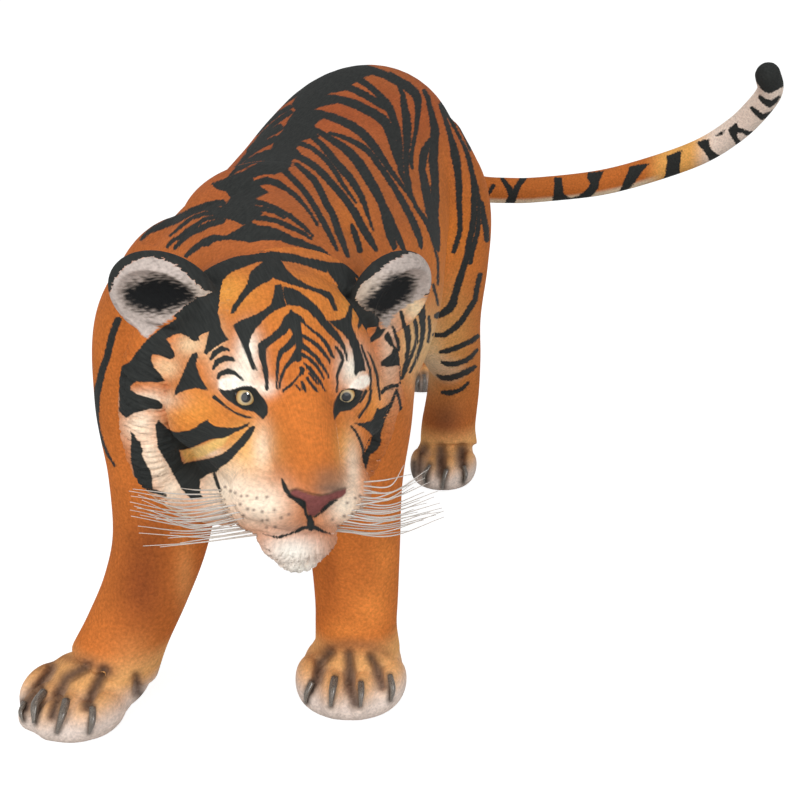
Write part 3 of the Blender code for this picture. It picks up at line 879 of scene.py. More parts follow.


# Black markings, drawn in the photograph's pixels. A patch is a closed outline of (x, y)
# points, and a stroke is a brush line of (x, y, width) points. First the head's.
RIGHT_EAR = [
    [(108, 282, 4), (110, 276, 4), (118, 264, 5), (130, 256, 6), (150, 251, 4), (165, 251, 4),
     (178, 256, 4), (190, 268, 3.5), (203, 281, 3), (212, 288, 2)],
]
LEFT_EAR = [
    [(326, 266), (330, 262), (345, 263), (352, 264), (362, 261), (375, 256), (390, 249),
     (402, 245), (412, 245), (420, 247), (422, 252), (410, 251), (398, 255), (388, 260),
     (378, 268), (368, 276), (358, 284), (350, 291), (344, 289), (336, 283), (331, 276),
     (327, 271)],
]
CROWN = [
    [(176, 255.5), (200, 257), (222, 256), (250, 252), (262, 250.5), (275, 251.5), (290, 253),
     (300, 256), (315, 259), (330, 262.5), (327, 273), (320, 271), (308, 266.5), (300, 264),
     (290, 262), (282, 261), (272, 262), (257, 262), (245, 267), (230, 273), (222, 281),
     (216, 288), (210, 287), (200, 276), (190, 266)],
    [(262, 262), (275, 258), (282, 261), (286, 269), (294, 276), (303, 282), (313, 287),
     (323, 289.5), (330, 292), (334, 298), (338, 311), (334, 311), (329, 300), (322, 295),
     (311, 290.5), (298, 286.5), (288, 283.5), (281, 281), (273, 278), (270, 281), (262, 284),
     (252, 291), (241, 303), (234, 314), (230, 314), (232, 307), (240, 295), (247, 284),
     (250, 272)],
    [(275, 285), (281, 284), (283, 290), (285, 300), (287, 306), (281, 308), (273, 312),
     (268, 316), (262, 322), (255, 330), (251, 337), (249, 346), (252, 357), (257, 371),
     (252, 369), (246, 354), (240, 340), (236, 331), (233, 325), (242, 319.5), (252, 316),
     (262, 311), (270, 305), (273, 298)],
    [(283, 286), (291, 288), (299, 291), (307, 297), (315, 304), (321, 311), (327, 320),
     (335, 329), (341, 337), (345, 345), (347.5, 355), (348, 362), (346, 361), (344, 352),
     (339, 344), (331, 336), (323, 327.5), (315, 318), (308, 311), (300, 306.5), (292, 305.5),
     (287, 305), (284, 296)],
]
BROW = [
    [(291, 311, 3), (294, 320, 14), (297, 332, 10), (299, 342, 8), (299, 352, 5), (298, 358, 8)],
    [(291, 312, 3), (289, 320, 12), (283, 330, 9), (272, 339, 8), (262, 346, 9), (263, 358, 7),
     (266, 372, 5), (267, 389, 3.5)],
    [(297, 335, 8), (290, 345, 7), (281, 352, 6), (278, 362, 3.5), (277, 375, 3),
     (276.5, 388, 2)],
    [(298, 350, 6), (296, 356, 9), (291, 361, 5), (285, 368, 3.5), (281, 378, 3), (279, 389, 2)],
    [(303, 370, 5), (298, 377, 2.5), (291, 385, 2.5), (284, 390, 3), (283, 392, 1.5)],
    [(300, 318, 5), (306, 325, 2.5), (313, 331, 2.5), (320, 336, 3.5), (327, 345, 4.5),
     (332, 355, 3.5), (334, 358, 2)],
    [(302, 335, 3), (310, 340, 4), (318, 346, 4.5), (324, 353, 4), (329, 360, 2.5),
     (330, 364, 1)],
    [(301, 345, 6), (308, 350, 5), (316, 357, 4), (322, 365, 3.5), (327, 373, 2.5),
     (329, 378, 1.5)],
    [(301, 354, 4), (307, 357, 4), (314, 363, 3.5), (320, 371, 3), (324, 379, 2)],
    [(304, 363, 2), (309, 368, 4), (315, 375, 4), (321, 383, 3), (325, 391, 2)],
    [(301, 368, 4), (303, 374, 2)],
    [(296, 385, 2), (300, 390, 2)],
    [(302, 382, 3), (304, 388, 4), (306, 392, 1.5)],
    [(307, 378, 3), (311, 384, 3), (315, 389, 3.5), (318, 392, 1.5)],
    [(309, 373, 2), (314, 379, 2.5), (318, 384, 2)],
    [(211, 359, 3), (215, 353, 6), (222, 348.5, 5.5), (230, 350, 2)],
    [(213, 369, 3), (217, 362, 6), (225, 358, 6), (232, 359, 4), (234, 361, 2)],
    [(218, 378, 3), (220, 374, 5), (228, 371, 5.5), (236, 374, 4), (243, 380, 2)],
    [(336, 347, 2.5), (341, 354, 4), (343, 360, 3.5), (340, 368, 3), (337, 376, 3),
     (337.5, 384, 2.5), (336.5, 392, 2)],
    [(361, 345, 2), (366, 358, 2.5), (370, 370, 3), (371, 380, 2.5), (370, 395, 2.5)],
    [(368, 352, 2), (373, 362, 2.5), (377, 375, 3), (379, 390, 2.5), (380, 400, 2)],
    [(329, 321), (337, 320), (344, 318), (347, 313), (349, 306), (352, 303), (353, 307),
     (352, 315), (352, 325), (355, 333), (359, 343), (361, 350), (364, 360), (366, 371),
     (362, 371), (358, 373), (356, 377), (354, 372), (354, 362), (352, 350), (348, 340),
     (342, 332), (335, 327)],
    [(192, 354), (197, 352), (198, 358), (196, 363), (198, 371), (202, 380), (207, 388),
     (208, 391), (203, 390), (196, 388), (187, 390), (179, 393), (174, 396), (175, 390),
     (180, 380), (184, 370), (188, 361)],
]
RIGHT_CHEEK = [
    [(204, 300), (212, 301), (216, 306), (219, 316), (221, 327), (226, 336), (229, 340),
     (222, 343), (213, 349), (206, 355), (203.5, 353), (207, 341), (209, 330), (208, 318),
     (205, 308)],
    [(196, 303), (199, 308), (196.5, 316), (196, 325), (199, 335), (199, 341), (194, 341),
     (189, 337), (181, 333.5), (173, 335), (167, 339), (170, 344), (174, 352), (175, 357),
     (170, 359.5), (164, 357), (158, 354.5), (152, 355), (151, 360), (154, 367), (160, 374),
     (165, 381), (158, 382.5), (145, 382), (135, 382), (131, 386), (131, 391), (120, 400),
     (119, 380), (122, 366), (128, 363), (137, 352), (143, 344), (150, 337), (160, 329),
     (170, 323), (180, 316), (188, 309)],
    [(119, 388), (132, 390), (137, 394), (145, 397), (152, 398), (158, 400), (162, 404),
     (163, 408), (157, 409.5), (150, 409), (142, 411), (134, 413), (129, 416), (126, 418),
     (119, 411)],
    [(129.5, 428), (131, 434), (131, 440), (130.5, 448), (130.5, 458), (132, 467), (134, 476),
     (138, 484), (142, 489), (148, 491), (156, 494), (166, 497), (168, 495), (160, 491),
     (153, 489), (152.5, 483), (152, 476), (150, 470), (147, 465), (144, 460), (142, 455),
     (143, 450), (141, 446), (140, 442), (137, 440), (135, 436), (132.5, 433)],
    [(214, 397, 4), (219, 401, 3), (226, 407, 2.5), (234, 412, 2.5), (243, 416, 3),
     (250, 417.5, 2.5), (252, 418, 1)],
    [(158.5, 419), (161, 422), (165, 426), (170, 430), (176, 432), (183, 431.5), (190, 430),
     (196, 427), (201, 423), (205, 420.5), (208, 419.5), (210, 423), (214, 426), (222, 427),
     (231, 427.5), (238, 427), (245, 424.5), (249.5, 422.5), (248, 426), (242, 429.5),
     (235, 432.5), (228, 436.5), (222, 438.5), (214, 439), (209, 440), (202, 443), (196, 446),
     (190, 448.5), (184, 449.5), (179.5, 450.5), (181, 457), (183, 463.5), (190, 462),
     (200, 460), (208, 458.5), (216, 456), (222, 454), (228, 449.5), (234, 444), (240, 438),
     (245, 432), (250, 427), (255.5, 425.5), (254, 431), (250, 438), (244, 446), (238, 452),
     (232, 459), (226, 464), (220, 468), (217, 472), (213, 473), (208, 474), (203, 477.5),
     (200, 479.5), (200, 485), (200.5, 492), (203, 498), (192, 500), (188, 496), (184, 491),
     (180, 487), (178, 482), (174, 476), (171, 470), (168, 464), (164, 458), (161, 453),
     (158, 448), (157, 442), (156, 436), (156, 430), (155, 425)],
    [(214, 473, 3), (216, 479, 4), (218, 485, 3.5), (220, 491, 2)],
]
LEFT_CHEEK = [
    [(361, 309), (365, 312), (372, 316), (367, 319), (362, 324), (359, 330), (357, 326),
     (359, 318)],
    [(376, 318), (378, 325), (381, 329), (387, 328), (384, 333), (380, 338), (374, 341),
     (370, 343), (370, 339), (374, 333), (377, 326)],
    [(384, 335), (388, 331), (391, 336), (394, 345), (399, 350), (400, 358), (400, 366),
     (395, 366), (388, 367), (381, 366), (381, 362), (386, 357), (391, 353), (393, 348),
     (388, 343), (385, 340)],
    [(380, 392), (384, 387), (391, 384), (399, 383), (399, 387), (392, 388), (386, 391),
     (382, 395)],
    [(393, 327, 3), (397, 338, 4), (400, 350, 4), (402, 362, 3), (401, 372, 3), (401, 383, 3)],
    [(401, 312, 4), (404, 325, 4.5), (407, 338, 3.5), (407, 352, 2.5), (405, 365, 3),
     (402, 378, 2.5)],
    [(396, 390, 3), (399, 398, 3), (401, 408, 3), (402, 417, 3), (401, 425, 2)],
    [(366, 391, 3), (363, 397, 3), (360, 402, 2)],
    [(371, 390, 3), (370, 400, 3), (366, 408, 3), (359, 417, 3)],
    [(354, 423), (362, 423), (370, 421), (373, 418), (377, 408), (380, 409), (385, 407),
     (390, 402), (393, 395), (394, 390), (398, 390), (396, 396), (393, 404), (389, 412),
     (385, 420), (383, 427), (381, 434), (381, 442), (378, 449), (374, 452), (370, 455),
     (368, 462), (366, 471), (364, 465), (362, 458), (366, 450), (370, 443), (372, 436),
     (369, 432), (362, 427)],
    [(351, 426, 2), (356, 432, 2.5), (360, 440, 3), (363, 449, 3), (363, 456, 2)],
]
EYE_RIMS = [
    [(217.5, 388.5), (224, 390), (231, 390), (237, 388), (243, 386), (250, 386), (256, 389),
     (261, 395), (265, 400), (268, 407), (268, 413), (265, 418), (262.5, 419.5), (259, 416),
     (255, 412.5), (250, 411), (243, 409.5), (236, 406.5), (229, 401.5), (223, 396.5)],
    [(334, 419), (333, 412), (334, 403), (337, 396), (343, 390), (349, 388), (356, 389),
     (364, 391), (362, 396), (360, 401), (356, 406), (351, 410), (345, 411), (340, 412),
     (337, 416), (335, 420)],
]
MUZZLE = [
    [(282, 479, 2), (284, 485, 4), (286, 490, 5), (290, 496, 4), (296, 499, 3), (300, 500, 3),
     (304, 503, 4), (305, 508, 3), (306, 514, 3), (309, 519, 4)],
    [(337, 500, 2), (331, 503, 3), (326, 508, 3), (321, 513, 2), (314, 517, 2)],
    [(309, 518, 3), (310, 523, 6), (311, 527, 5)],
    [(310, 527, 4), (303, 528, 4), (297, 531, 3.5), (290, 534, 2), (283, 536, 2.5),
     (278, 537.5, 3), (271, 536, 2), (263, 534, 1)],
    [(312, 526, 4), (318, 529, 4), (323, 531.5, 2.5), (330, 533.5, 1.5)],
]

# The dots of the whisker pads.
WHISKER_DOTS = [
    (225, 487), (230.5, 491), (235, 493), (241, 496), (247, 496), (256.5, 498), (266.5, 497),
    (240, 504.5), (247.5, 509), (253.5, 510), (262, 511.5), (274, 510), (243, 515.5),
    (262, 520.5), (267, 520), (281, 518), (288.5, 514.5), (266.5, 527.5), (275, 527), (355, 498),
    (360, 496), (347, 503), (332, 519.5), (344, 516), (352, 514), (338, 526),
]
WHISKER_DOT_WIDTH = 2.2

# The body's markings: nape and neck, back and flank, belly, tail.
NAPE = [
    [(200, 246), (206, 238), (214, 235), (226, 236), (236, 231), (243, 226), (250, 222),
     (258, 226), (270, 227), (282, 231), (292, 237), (302, 240), (312, 245), (322, 248),
     (330, 256), (315, 252), (303, 247), (290, 244), (280, 240), (262, 240), (250, 242),
     (240, 240), (228, 239), (215, 241), (208, 246)],
    [(205, 241, 5), (197, 247, 5), (190, 252, 4), (184, 258, 3)],
    [(218, 210, 5), (205, 207, 6), (195, 210, 6), (185, 215, 6), (175, 220, 7), (165, 224, 7),
     (156, 228, 5), (147, 233, 3), (141, 240, 2)],
    [(222, 203, 6), (210, 204, 5), (200, 207, 4)],
    [(215, 213, 3), (203, 214, 3), (192, 218, 3), (185, 223, 3), (178, 229, 2), (170, 236, 1.5)],
    [(216, 217, 3), (205, 219, 3), (196, 225, 4), (188, 231, 5), (180, 237, 3.5), (172, 241, 3),
     (167, 247, 2)],
    [(222, 221, 5), (210, 224, 5), (200, 229, 5), (190, 234, 4), (182, 240, 4), (175, 248, 3)],
    [(250, 201, 5), (262, 203, 4), (275, 208, 4), (290, 216, 4), (303, 226, 3), (313, 236, 1.5)],
    [(252, 209, 5), (265, 209, 4), (275, 212, 3), (285, 218, 2)],
    [(248, 216, 5), (268, 219, 4), (280, 222, 4), (292, 228, 4), (303, 233, 3), (311, 239, 1.5)],
    [(118, 320, 6), (112, 335, 6), (110, 345, 6), (107, 357, 6), (103, 368, 6), (100, 380, 6),
     (97, 392, 6), (96, 405, 6), (96, 415, 5), (98, 428, 3), (103, 443, 2), (108, 455, 1.5),
     (115, 466, 1)],
]
BACK = [
    [(297, 94, 4), (286, 101, 4), (275, 109, 3), (263, 121, 2)],
    [(290, 107, 4), (278, 114, 4), (267, 123, 3), (257, 134, 2)],
    [(280, 126, 4), (268, 132, 4), (258, 140, 3), (248, 150, 2)],
    [(276, 138, 4), (264, 143, 4), (253, 151, 3), (242, 161, 2)],
    [(273, 153, 5), (260, 158, 5), (247, 164, 4), (234, 172, 2)],
    [(352, 62), (330, 68), (308, 80), (298, 88), (297, 97), (292, 104), (296, 110), (290, 118),
     (285, 127), (281, 133), (275, 140), (273, 147), (268, 152), (262, 157), (258, 163),
     (250, 168), (242, 172), (232, 176), (222, 180), (212, 184), (218, 189), (226, 191),
     (231, 197), (228, 203), (220, 208), (213, 213), (216, 218), (226, 218), (236, 221),
     (243, 225), (250, 222), (256, 218), (262, 214), (256, 208), (252, 201), (258, 197),
     (268, 192), (262, 188), (256, 183), (252, 178), (262, 174), (275, 174), (284, 171),
     (290, 167), (292, 160), (300, 154), (296, 148), (300, 142), (308, 138), (318, 137),
     (316, 131), (314, 125), (318, 121), (326, 117), (318, 113), (312, 111), (318, 107),
     (330, 104), (340, 102), (330, 99), (322, 97), (330, 93), (345, 90), (352, 84), (362, 78),
     (372, 74), (384, 78), (398, 86), (408, 91), (414, 96), (419, 96), (412, 88), (398, 78),
     (382, 70), (366, 65)],
    [(292, 90, 4), (283, 98, 3), (275, 106, 3), (267, 115, 3), (259, 126, 3), (250, 139, 2)],
    [(290, 112, 4), (280, 119, 4), (270, 127, 4), (262, 134, 3), (254, 144, 2)],
    [(281, 128, 4), (270, 134, 5), (261, 140, 4), (252, 148, 3), (244, 158, 2)],
    [(275, 140, 4), (262, 145, 5), (252, 152, 4), (243, 160, 3), (236, 168, 2)],
    [(268, 152, 4), (256, 157, 5), (246, 163, 4), (238, 168, 3), (230, 176, 2)],
    [(320, 99, 6), (335, 98, 6), (345, 101, 7), (355, 104, 8), (365, 109, 8), (375, 114, 8),
     (383, 120, 9), (388, 127, 9), (391, 135, 8), (393, 143, 7), (395, 150, 6), (397, 157, 6),
     (400, 165, 5), (401, 172, 4), (404, 180, 3), (408, 190, 2)],
    [(345, 86, 6), (355, 90, 6), (365, 95, 6), (375, 101, 6), (384, 106, 6)],
    [(358, 79, 6), (368, 85, 5), (376, 92, 5), (382, 98, 6), (387, 105, 8), (391, 112, 7),
     (394, 120, 6), (397, 130, 6), (399, 140, 5), (400, 150, 4.5), (401, 160, 3.5),
     (402, 170, 3)],
    [(312, 112, 5), (322, 114, 6), (332, 117, 7), (342, 121, 7), (352, 126, 8), (361, 132, 8),
     (369, 140, 7.5), (376, 149, 7), (382, 158, 6), (388, 167, 5), (394, 175, 4), (400, 183, 3),
     (407, 192, 2.5), (413, 201, 2), (420, 212, 1.5), (428, 228, 1.5), (434, 245, 1.5),
     (438, 262, 1.5), (438, 285, 1)],
    [(330, 133, 2.5), (340, 136, 3), (350, 140, 4), (360, 145, 5), (368, 151, 5), (375, 159, 5),
     (382, 169, 5), (388, 178, 5), (394, 187, 5), (400, 197, 5.5), (405, 206, 6), (409, 214, 6),
     (413, 222, 6.5), (417, 231, 6), (420, 240, 5), (421, 247, 3)],
    [(316, 130, 4), (326, 136, 5), (335, 142, 6), (343, 147, 7), (351, 154, 8), (358, 162, 9),
     (364, 171, 9), (370, 181, 9), (376, 191, 8.5), (381, 201, 7), (384, 212, 6), (386, 222, 6),
     (390, 235, 7), (394, 247, 5)],
    [(384, 205, 4), (389, 215, 5), (393, 226, 6), (398, 237, 6), (403, 248, 4)],
    [(312, 137, 3), (320, 143, 5), (328, 152, 6), (335, 161, 6), (343, 170, 7), (350, 178, 6.5),
     (356, 187, 6), (361, 196, 5), (365, 206, 4), (368, 215, 2.5), (373, 230, 1)],
    [(288, 143, 4), (300, 143, 4), (310, 147, 4), (320, 154, 4), (328, 162, 4), (336, 173, 4),
     (344, 186, 3), (352, 197, 2), (356, 203, 1)],
    [(285, 157, 5), (297, 156, 5), (307, 161, 6), (317, 168, 6), (326, 177, 6), (334, 186, 6),
     (342, 195, 6), (349, 204, 6), (355, 213, 7), (360, 223, 7), (366, 233, 7), (371, 241, 6),
     (376, 250, 3)],
    [(296, 164, 3), (306, 172, 5), (315, 181, 6), (321, 192, 6), (326, 203, 6), (332, 213, 6),
     (336, 224, 6), (340, 236, 6), (344, 246, 5), (348, 256, 3)],
    [(282, 168, 5), (290, 176, 5), (300, 186, 5), (308, 196, 5), (315, 207, 5), (321, 218, 5),
     (327, 229, 5), (332, 239, 4), (337, 250, 2)],
    [(255, 184, 6), (266, 180, 6), (277, 183, 6), (287, 189, 4), (296, 196, 4), (304, 205, 3),
     (311, 214, 2), (318, 226, 1.5)],
    [(230, 190, 7), (242, 190, 7), (252, 187, 7)],
    [(352, 225, 2), (354, 232, 5), (357, 240, 5), (360, 250, 5)],
    [(390, 76, 7), (400, 82, 8), (408, 87, 9), (415, 93, 8), (418, 100, 7), (418, 110, 5),
     (417, 120, 4), (416, 130, 3), (414, 140, 3), (412, 150, 3), (411, 160, 3), (412, 168, 2)],
    [(398, 84, 2), (403, 95, 4), (404, 105, 6), (406, 115, 7), (407, 125, 8), (407, 135, 7),
     (407, 145, 6), (406, 155, 5), (406, 165, 4), (407, 175, 4), (409, 185, 4), (411, 195, 3),
     (416, 207, 3), (424, 218, 4), (430, 227, 6), (435, 238, 7), (438, 250, 3)],
    [(424, 91, 3), (428, 98, 4), (430, 107, 4), (432, 116, 5), (434, 125, 7), (435, 133, 8),
     (434, 141, 8), (434, 150, 8), (433, 160, 8), (434, 170, 8), (435, 180, 7), (435, 190, 7),
     (435, 200, 8), (434, 210, 8), (434, 220, 8), (436, 230, 7), (438, 245, 4)],
    [(432, 140, 6), (427, 146, 6), (424, 153, 7), (423, 160, 7), (422, 170, 6), (424, 180, 7),
     (426, 190, 8), (428, 200, 8), (430, 210, 9), (433, 220, 8)],
    [(440, 105, 2), (444, 115, 3), (447, 125, 4), (450, 135, 4), (453, 145, 6), (455, 155, 8),
     (457, 165, 7), (458, 175, 6), (459, 185, 6), (459, 200, 5), (460, 215, 4), (460, 230, 4),
     (457, 242, 4), (454, 251, 4)],
    [(441, 103, 2), (448, 115, 3), (455, 128, 2.5), (461, 140, 2), (466, 150, 3), (469, 160, 4),
     (472, 172, 4), (474, 185, 5), (474, 200, 5), (474, 215, 5), (472, 230, 5), (469, 243, 5),
     (467, 256, 5), (464, 266, 5), (461, 275, 6), (458, 285, 6), (455, 295, 6), (453, 303, 7),
     (449, 309, 7), (443, 313, 6), (437, 316, 5)],
    [(443, 102, 2), (450, 110, 4), (456, 119, 3), (462, 129, 3), (467, 140, 2.5),
     (470, 150, 1.5)],
    [(474, 175, 2), (477, 187, 2), (479, 200, 3), (479, 215, 3), (478, 230, 4), (475, 241, 4),
     (472, 252, 4), (470, 263, 3)],
    [(482, 203, 3), (483, 212, 4), (484, 220, 5), (486, 228, 5), (487, 240, 4)],
    [(480, 275, 4), (477, 288, 4), (475, 300, 4), (470, 308, 5), (465, 316, 4), (459, 324, 5),
     (452, 330, 5), (444, 335, 4), (434, 335, 3)],
    [(478, 336, 3), (473, 340, 4), (465, 344, 4), (456, 348, 4.5), (447, 351, 4), (440, 352, 2)],
    [(477, 350, 2), (472, 356, 3), (465, 361, 4), (455, 364, 4.5), (447, 364, 4), (442, 362, 2)],
    [(475, 367, 3), (468, 371, 5), (460, 375, 5), (450, 378, 5), (442, 378, 4), (437, 375, 1)],
    [(468, 383, 2), (462, 389, 2.5), (455, 392, 3.5), (447, 393, 4), (442, 392, 2)],
]
TAIL_MARKS = [
    [(493, 186, 5), (490, 191, 4), (487, 195, 4)],
    [(502, 178, 4), (506, 184, 5), (510, 190, 7), (512, 196, 7), (508, 203, 6)],
    [(524, 178, 6), (519, 184, 6), (516, 190, 7), (513, 197, 8), (511, 203, 7)],
    [(554, 177), (562, 178), (563, 186), (564, 194), (570, 198), (578, 196), (585, 191),
     (590, 184), (587, 178), (588, 172), (604, 171), (600, 180), (598, 189), (592, 196),
     (582, 200), (566, 202), (552, 203), (553, 196), (554, 186)],
    [(618, 194), (622, 186), (626, 176), (630, 166), (650, 163), (642, 172), (636, 181),
     (631, 187), (625, 192)],
    [(659, 184), (665, 176), (666, 168), (667, 160), (666, 156), (682, 150), (681, 158),
     (680, 165), (680, 174), (672, 177), (665, 181)],
    [(696, 142), (703, 140), (709, 139), (710, 147), (714, 152), (721, 156), (715, 160),
     (710, 162), (707, 156), (703, 150), (699, 146)],
    [(715, 136), (720, 132), (726, 129), (722, 135), (718, 136)],
    [(728, 129), (733, 125), (737, 122), (738, 127), (743, 129), (750, 131), (757, 131),
     (752, 134), (747, 136), (742, 133), (738, 133), (737, 135), (738, 138), (741, 141),
     (745, 142), (740, 145), (736, 147), (735, 142), (732, 138), (729, 133)],
    [(752, 108, 4), (757, 113, 6), (762, 117, 6), (768, 115, 5), (772, 112, 3)],
    [(760, 97, 4), (764, 101, 6), (770, 104, 7), (775, 101, 5), (779, 97, 3)],
    [(745, 55), (785, 55), (785, 86), (777, 90), (770, 93.5), (765, 92.5), (760, 88), (752, 75)],
]

# Where the lids open, as seen in the photograph, and the pixel that each iris is centred on.
EYES = {
    -1: ([(234, 392), (239, 389.5), (246, 388.6), (252, 389.3), (256.5, 392.5), (260, 397.5),
          (263.5, 404), (262.5, 409), (257, 409), (250, 408.5), (243, 407.5), (237.5, 404.5),
          (234, 399)], (246.2, 397.6)),
    1: ([(338, 399), (339.5, 393.5), (344, 389.8), (351, 389.2), (357, 390.8), (357.5, 396),
         (355, 401.5), (350.5, 405.5), (345, 407), (339.5, 406), (337, 403)], (346.5, 397.2)),
}

# Fur of the ears, their hollows of painted shade, and the pale and dark places of the face.
EAR_FUR = [
    [(105, 300), (108, 290), (112, 279), (118, 271), (125, 264), (135, 258), (146, 255),
     (160, 255.5), (170, 259), (180, 266), (190, 274), (198, 281), (206, 288), (216, 292),
     (208, 297), (198, 300), (192, 304), (182, 312), (172, 320), (160, 328), (150, 338),
     (142, 349), (136, 354), (127, 352), (124, 340), (123, 322), (118, 317), (110, 310)],
    [(350, 290), (358, 284), (368, 276), (378, 268), (388, 260), (398, 255), (410, 250),
     (420, 250), (430, 254), (437, 264), (438, 275), (436, 286), (430, 294), (422, 300),
     (414, 305), (408, 308), (402, 311), (396, 316), (392, 323), (388, 330), (382, 328),
     (378, 320), (372, 314), (364, 311), (358, 306), (352, 298)],
]
EAR_HOLLOWS = [
    [(124, 292), (129, 287), (139, 284), (150, 278), (162, 278), (174, 281), (184, 286),
     (192, 292), (194, 298), (186, 302), (176, 307), (163, 311), (148, 311), (136, 307),
     (128, 302)],
    [(364, 304), (370, 297), (378, 289), (386, 281), (396, 276), (408, 275), (414, 280),
     (412, 290), (406, 299), (398, 304), (390, 310), (380, 315), (372, 311)],
]
WHITE_LIDS = [
    [(219, 380), (226, 378), (236, 378.5), (243, 381), (250, 383.5), (257, 387), (250, 387),
     (240, 389), (230, 391), (222, 390.5), (219, 387)],
    [(350, 386), (355, 380), (361, 376), (367, 375), (371, 379), (369, 384), (364, 388),
     (356, 389.5), (350, 389)],
]
CHEEK_WEDGE = [
    (181, 451), (190, 448.5), (204, 445), (218, 438), (232, 432), (222, 446), (205, 456),
    (186, 462),
]
NOSE_PAD = [
    (289, 494), (292, 490.5), (296, 489), (299, 490.5), (306, 493), (313, 495.5), (321, 496),
    (329, 494.5), (336, 491.5), (343, 489.5), (346, 488.5), (346, 493), (342, 497), (336, 500),
    (331, 502), (327, 505), (322, 511), (318, 514), (313, 516.5), (309.5, 518), (308, 513),
    (306, 507), (304.5, 503), (300, 500.5), (294, 498.5), (289.5, 497),
]
NOSE_EDGE = [
    [(288, 492, 2), (292, 490, 2), (297, 488.8, 2), (304, 491, 2), (312, 494, 2.4),
     (321, 495.2, 2.6), (330, 493.5, 2.4), (338, 490, 2.2), (345, 488, 1.6)],
]
BELLY = [
    [(421, 300, 7), (422, 315, 6), (423, 330, 4), (421, 345, 3), (416, 360, 2), (410, 372, 1.5)],
    [(429, 317, 2), (430, 330, 2), (428, 342, 1.5)],
    [(412, 312, 2), (416, 325, 3), (417, 340, 2.5), (413, 352, 2), (408, 365, 2), (402, 378, 2)],
    [(403, 312, 6), (406, 325, 6), (408, 335, 5), (408, 350, 3), (406, 362, 2), (403, 372, 2)],
    [(393, 330, 3), (397, 340, 3.5), (399, 350, 2)],
    [(433, 285, 2), (436, 295, 1.5), (438, 305, 1)],
]
NOSTRILS = [
    [(291, 497, 2), (297, 500.5, 4.5), (302.5, 504, 6), (305, 509, 3)],
    [(336, 500, 2), (331, 503, 4.5), (325, 508, 3.5), (320, 513, 2)],
]
MOUTH = [
    [(310, 517, 4), (310.5, 523, 8), (311, 527, 8)],
    [(310, 527, 5), (303, 528, 4), (297, 531, 3.5), (290, 534, 3), (283, 536, 3),
     (271, 536, 2.5), (262, 534, 2), (254, 532, 1)],
    [(312, 526, 5), (318, 529, 4), (323, 531.5, 3), (330, 533.5, 2), (336, 534, 1)],
]

# Claws: the pixels of the root's top and of the point.
CLAWS = [
    ((23, 702), (24, 720)), ((44, 691), (36, 723)), ((67, 699), (57, 732)),
    ((93, 707), (89, 732)), ((143, 696), (138, 709)), ((312, 682), (307, 702)),
    ((335, 677), (331, 706)), ((361, 682), (360, 706)), ((390, 675), (390, 700)),
    ((414, 463), (413, 478)), ((430, 465), (426, 482)), ((447, 469), (443, 487)),
    ((464, 466), (463, 482)), ((419, 376), (418, 389)), ((424, 374), (424, 390)),
]

# Whiskers: radii at the root, the middle and the tip, how far back their pads reach in head
# coordinates, and the pixels of each root, middle and tip.
WHISKER_RADII = (0.0008, 0.0007, 0.0003)
PAD_BACK = -0.02
RIGHT_WHISKERS = [
    ((216, 490), (197, 490), (180, 488)), ((218, 494), (180, 494), (133, 489)),
    ((222, 496), (180, 499), (129, 491)), ((225, 499), (182, 503), (131, 496)),
    ((222, 501), (178, 507), (138, 495)), ((226, 504), (180, 511), (130, 502)),
    ((228, 507), (184, 514), (137, 508)), ((230, 509), (186, 517), (142, 500)),
    ((227, 512), (178, 518), (130, 510)), ((232, 515), (185, 522), (140, 515)),
    ((234, 518), (190, 526), (131, 516)), ((236, 520), (192, 527), (150, 510)),
    ((238, 523), (196, 529), (148, 514)), ((232, 526), (188, 531), (138, 526)),
    ((236, 528), (200, 533), (170, 533)), ((240, 529), (204, 535), (168, 538)),
    ((241, 531), (205, 537), (139, 533)), ((244, 532), (206, 539), (180, 543)),
    ((246, 534), (204, 542), (143, 546)), ((247, 535), (212, 541), (160, 547)),
    ((240, 512), (200, 519), (156, 519)), ((236, 505), (190, 510), (145, 498)),
    ((244, 518), (204, 525), (165, 520)), ((229, 517), (190, 521), (134, 506)),
]
LEFT_WHISKERS = [
    ((364, 482), (385, 480), (412, 474)), ((364, 486), (390, 486), (404, 465)),
    ((364, 490), (392, 492), (427, 470)), ((364, 493), (392, 492), (418, 478)),
    ((363, 497), (392, 498), (430, 482)), ((362, 500), (388, 500), (414, 487)),
    ((361, 503), (390, 505), (424, 492)), ((360, 506), (392, 507), (438, 491)),
    ((359, 509), (388, 510), (420, 500)), ((358, 512), (390, 513), (434, 497)),
    ((356, 514), (388, 517), (440, 503)), ((355, 517), (386, 518), (418, 512)),
    ((353, 519), (388, 521), (442, 508)), ((351, 522), (386, 525), (430, 512)),
    ((349, 524), (384, 527), (436, 515)), ((347, 527), (382, 529), (424, 520)),
    ((343, 529), (384, 532), (444, 511)), ((341, 530), (390, 536), (444, 517)),
    ((338, 531), (376, 534), (407, 531)), ((356, 505), (388, 499), (412, 484)),
    ((352, 510), (385, 512), (427, 503)), ((348, 515), (382, 520), (440, 512)),
    ((360, 497), (380, 497), (425, 478)), ((344, 521), (375, 524), (414, 509)),
]

# How far a mark's edge is measured, in pixels.
FAR_OFF = 9.0

# Depths and heights of the finer forms, in metres.
LIP_DEPTH = 0.0030
NOSTRIL_DEPTH = 0.0045
NOSE_PAD_RISE = 0.0012
LOCK_HEIGHT = 0.0050
CLEFT_DEPTH = 0.0080

# How far from the eye's ball the skin may sink between the lids, and how far behind its surface.
LID_REACH = 0.015
LID_DEPTH = 0.003

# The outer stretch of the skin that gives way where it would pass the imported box.
EASING = 0.05


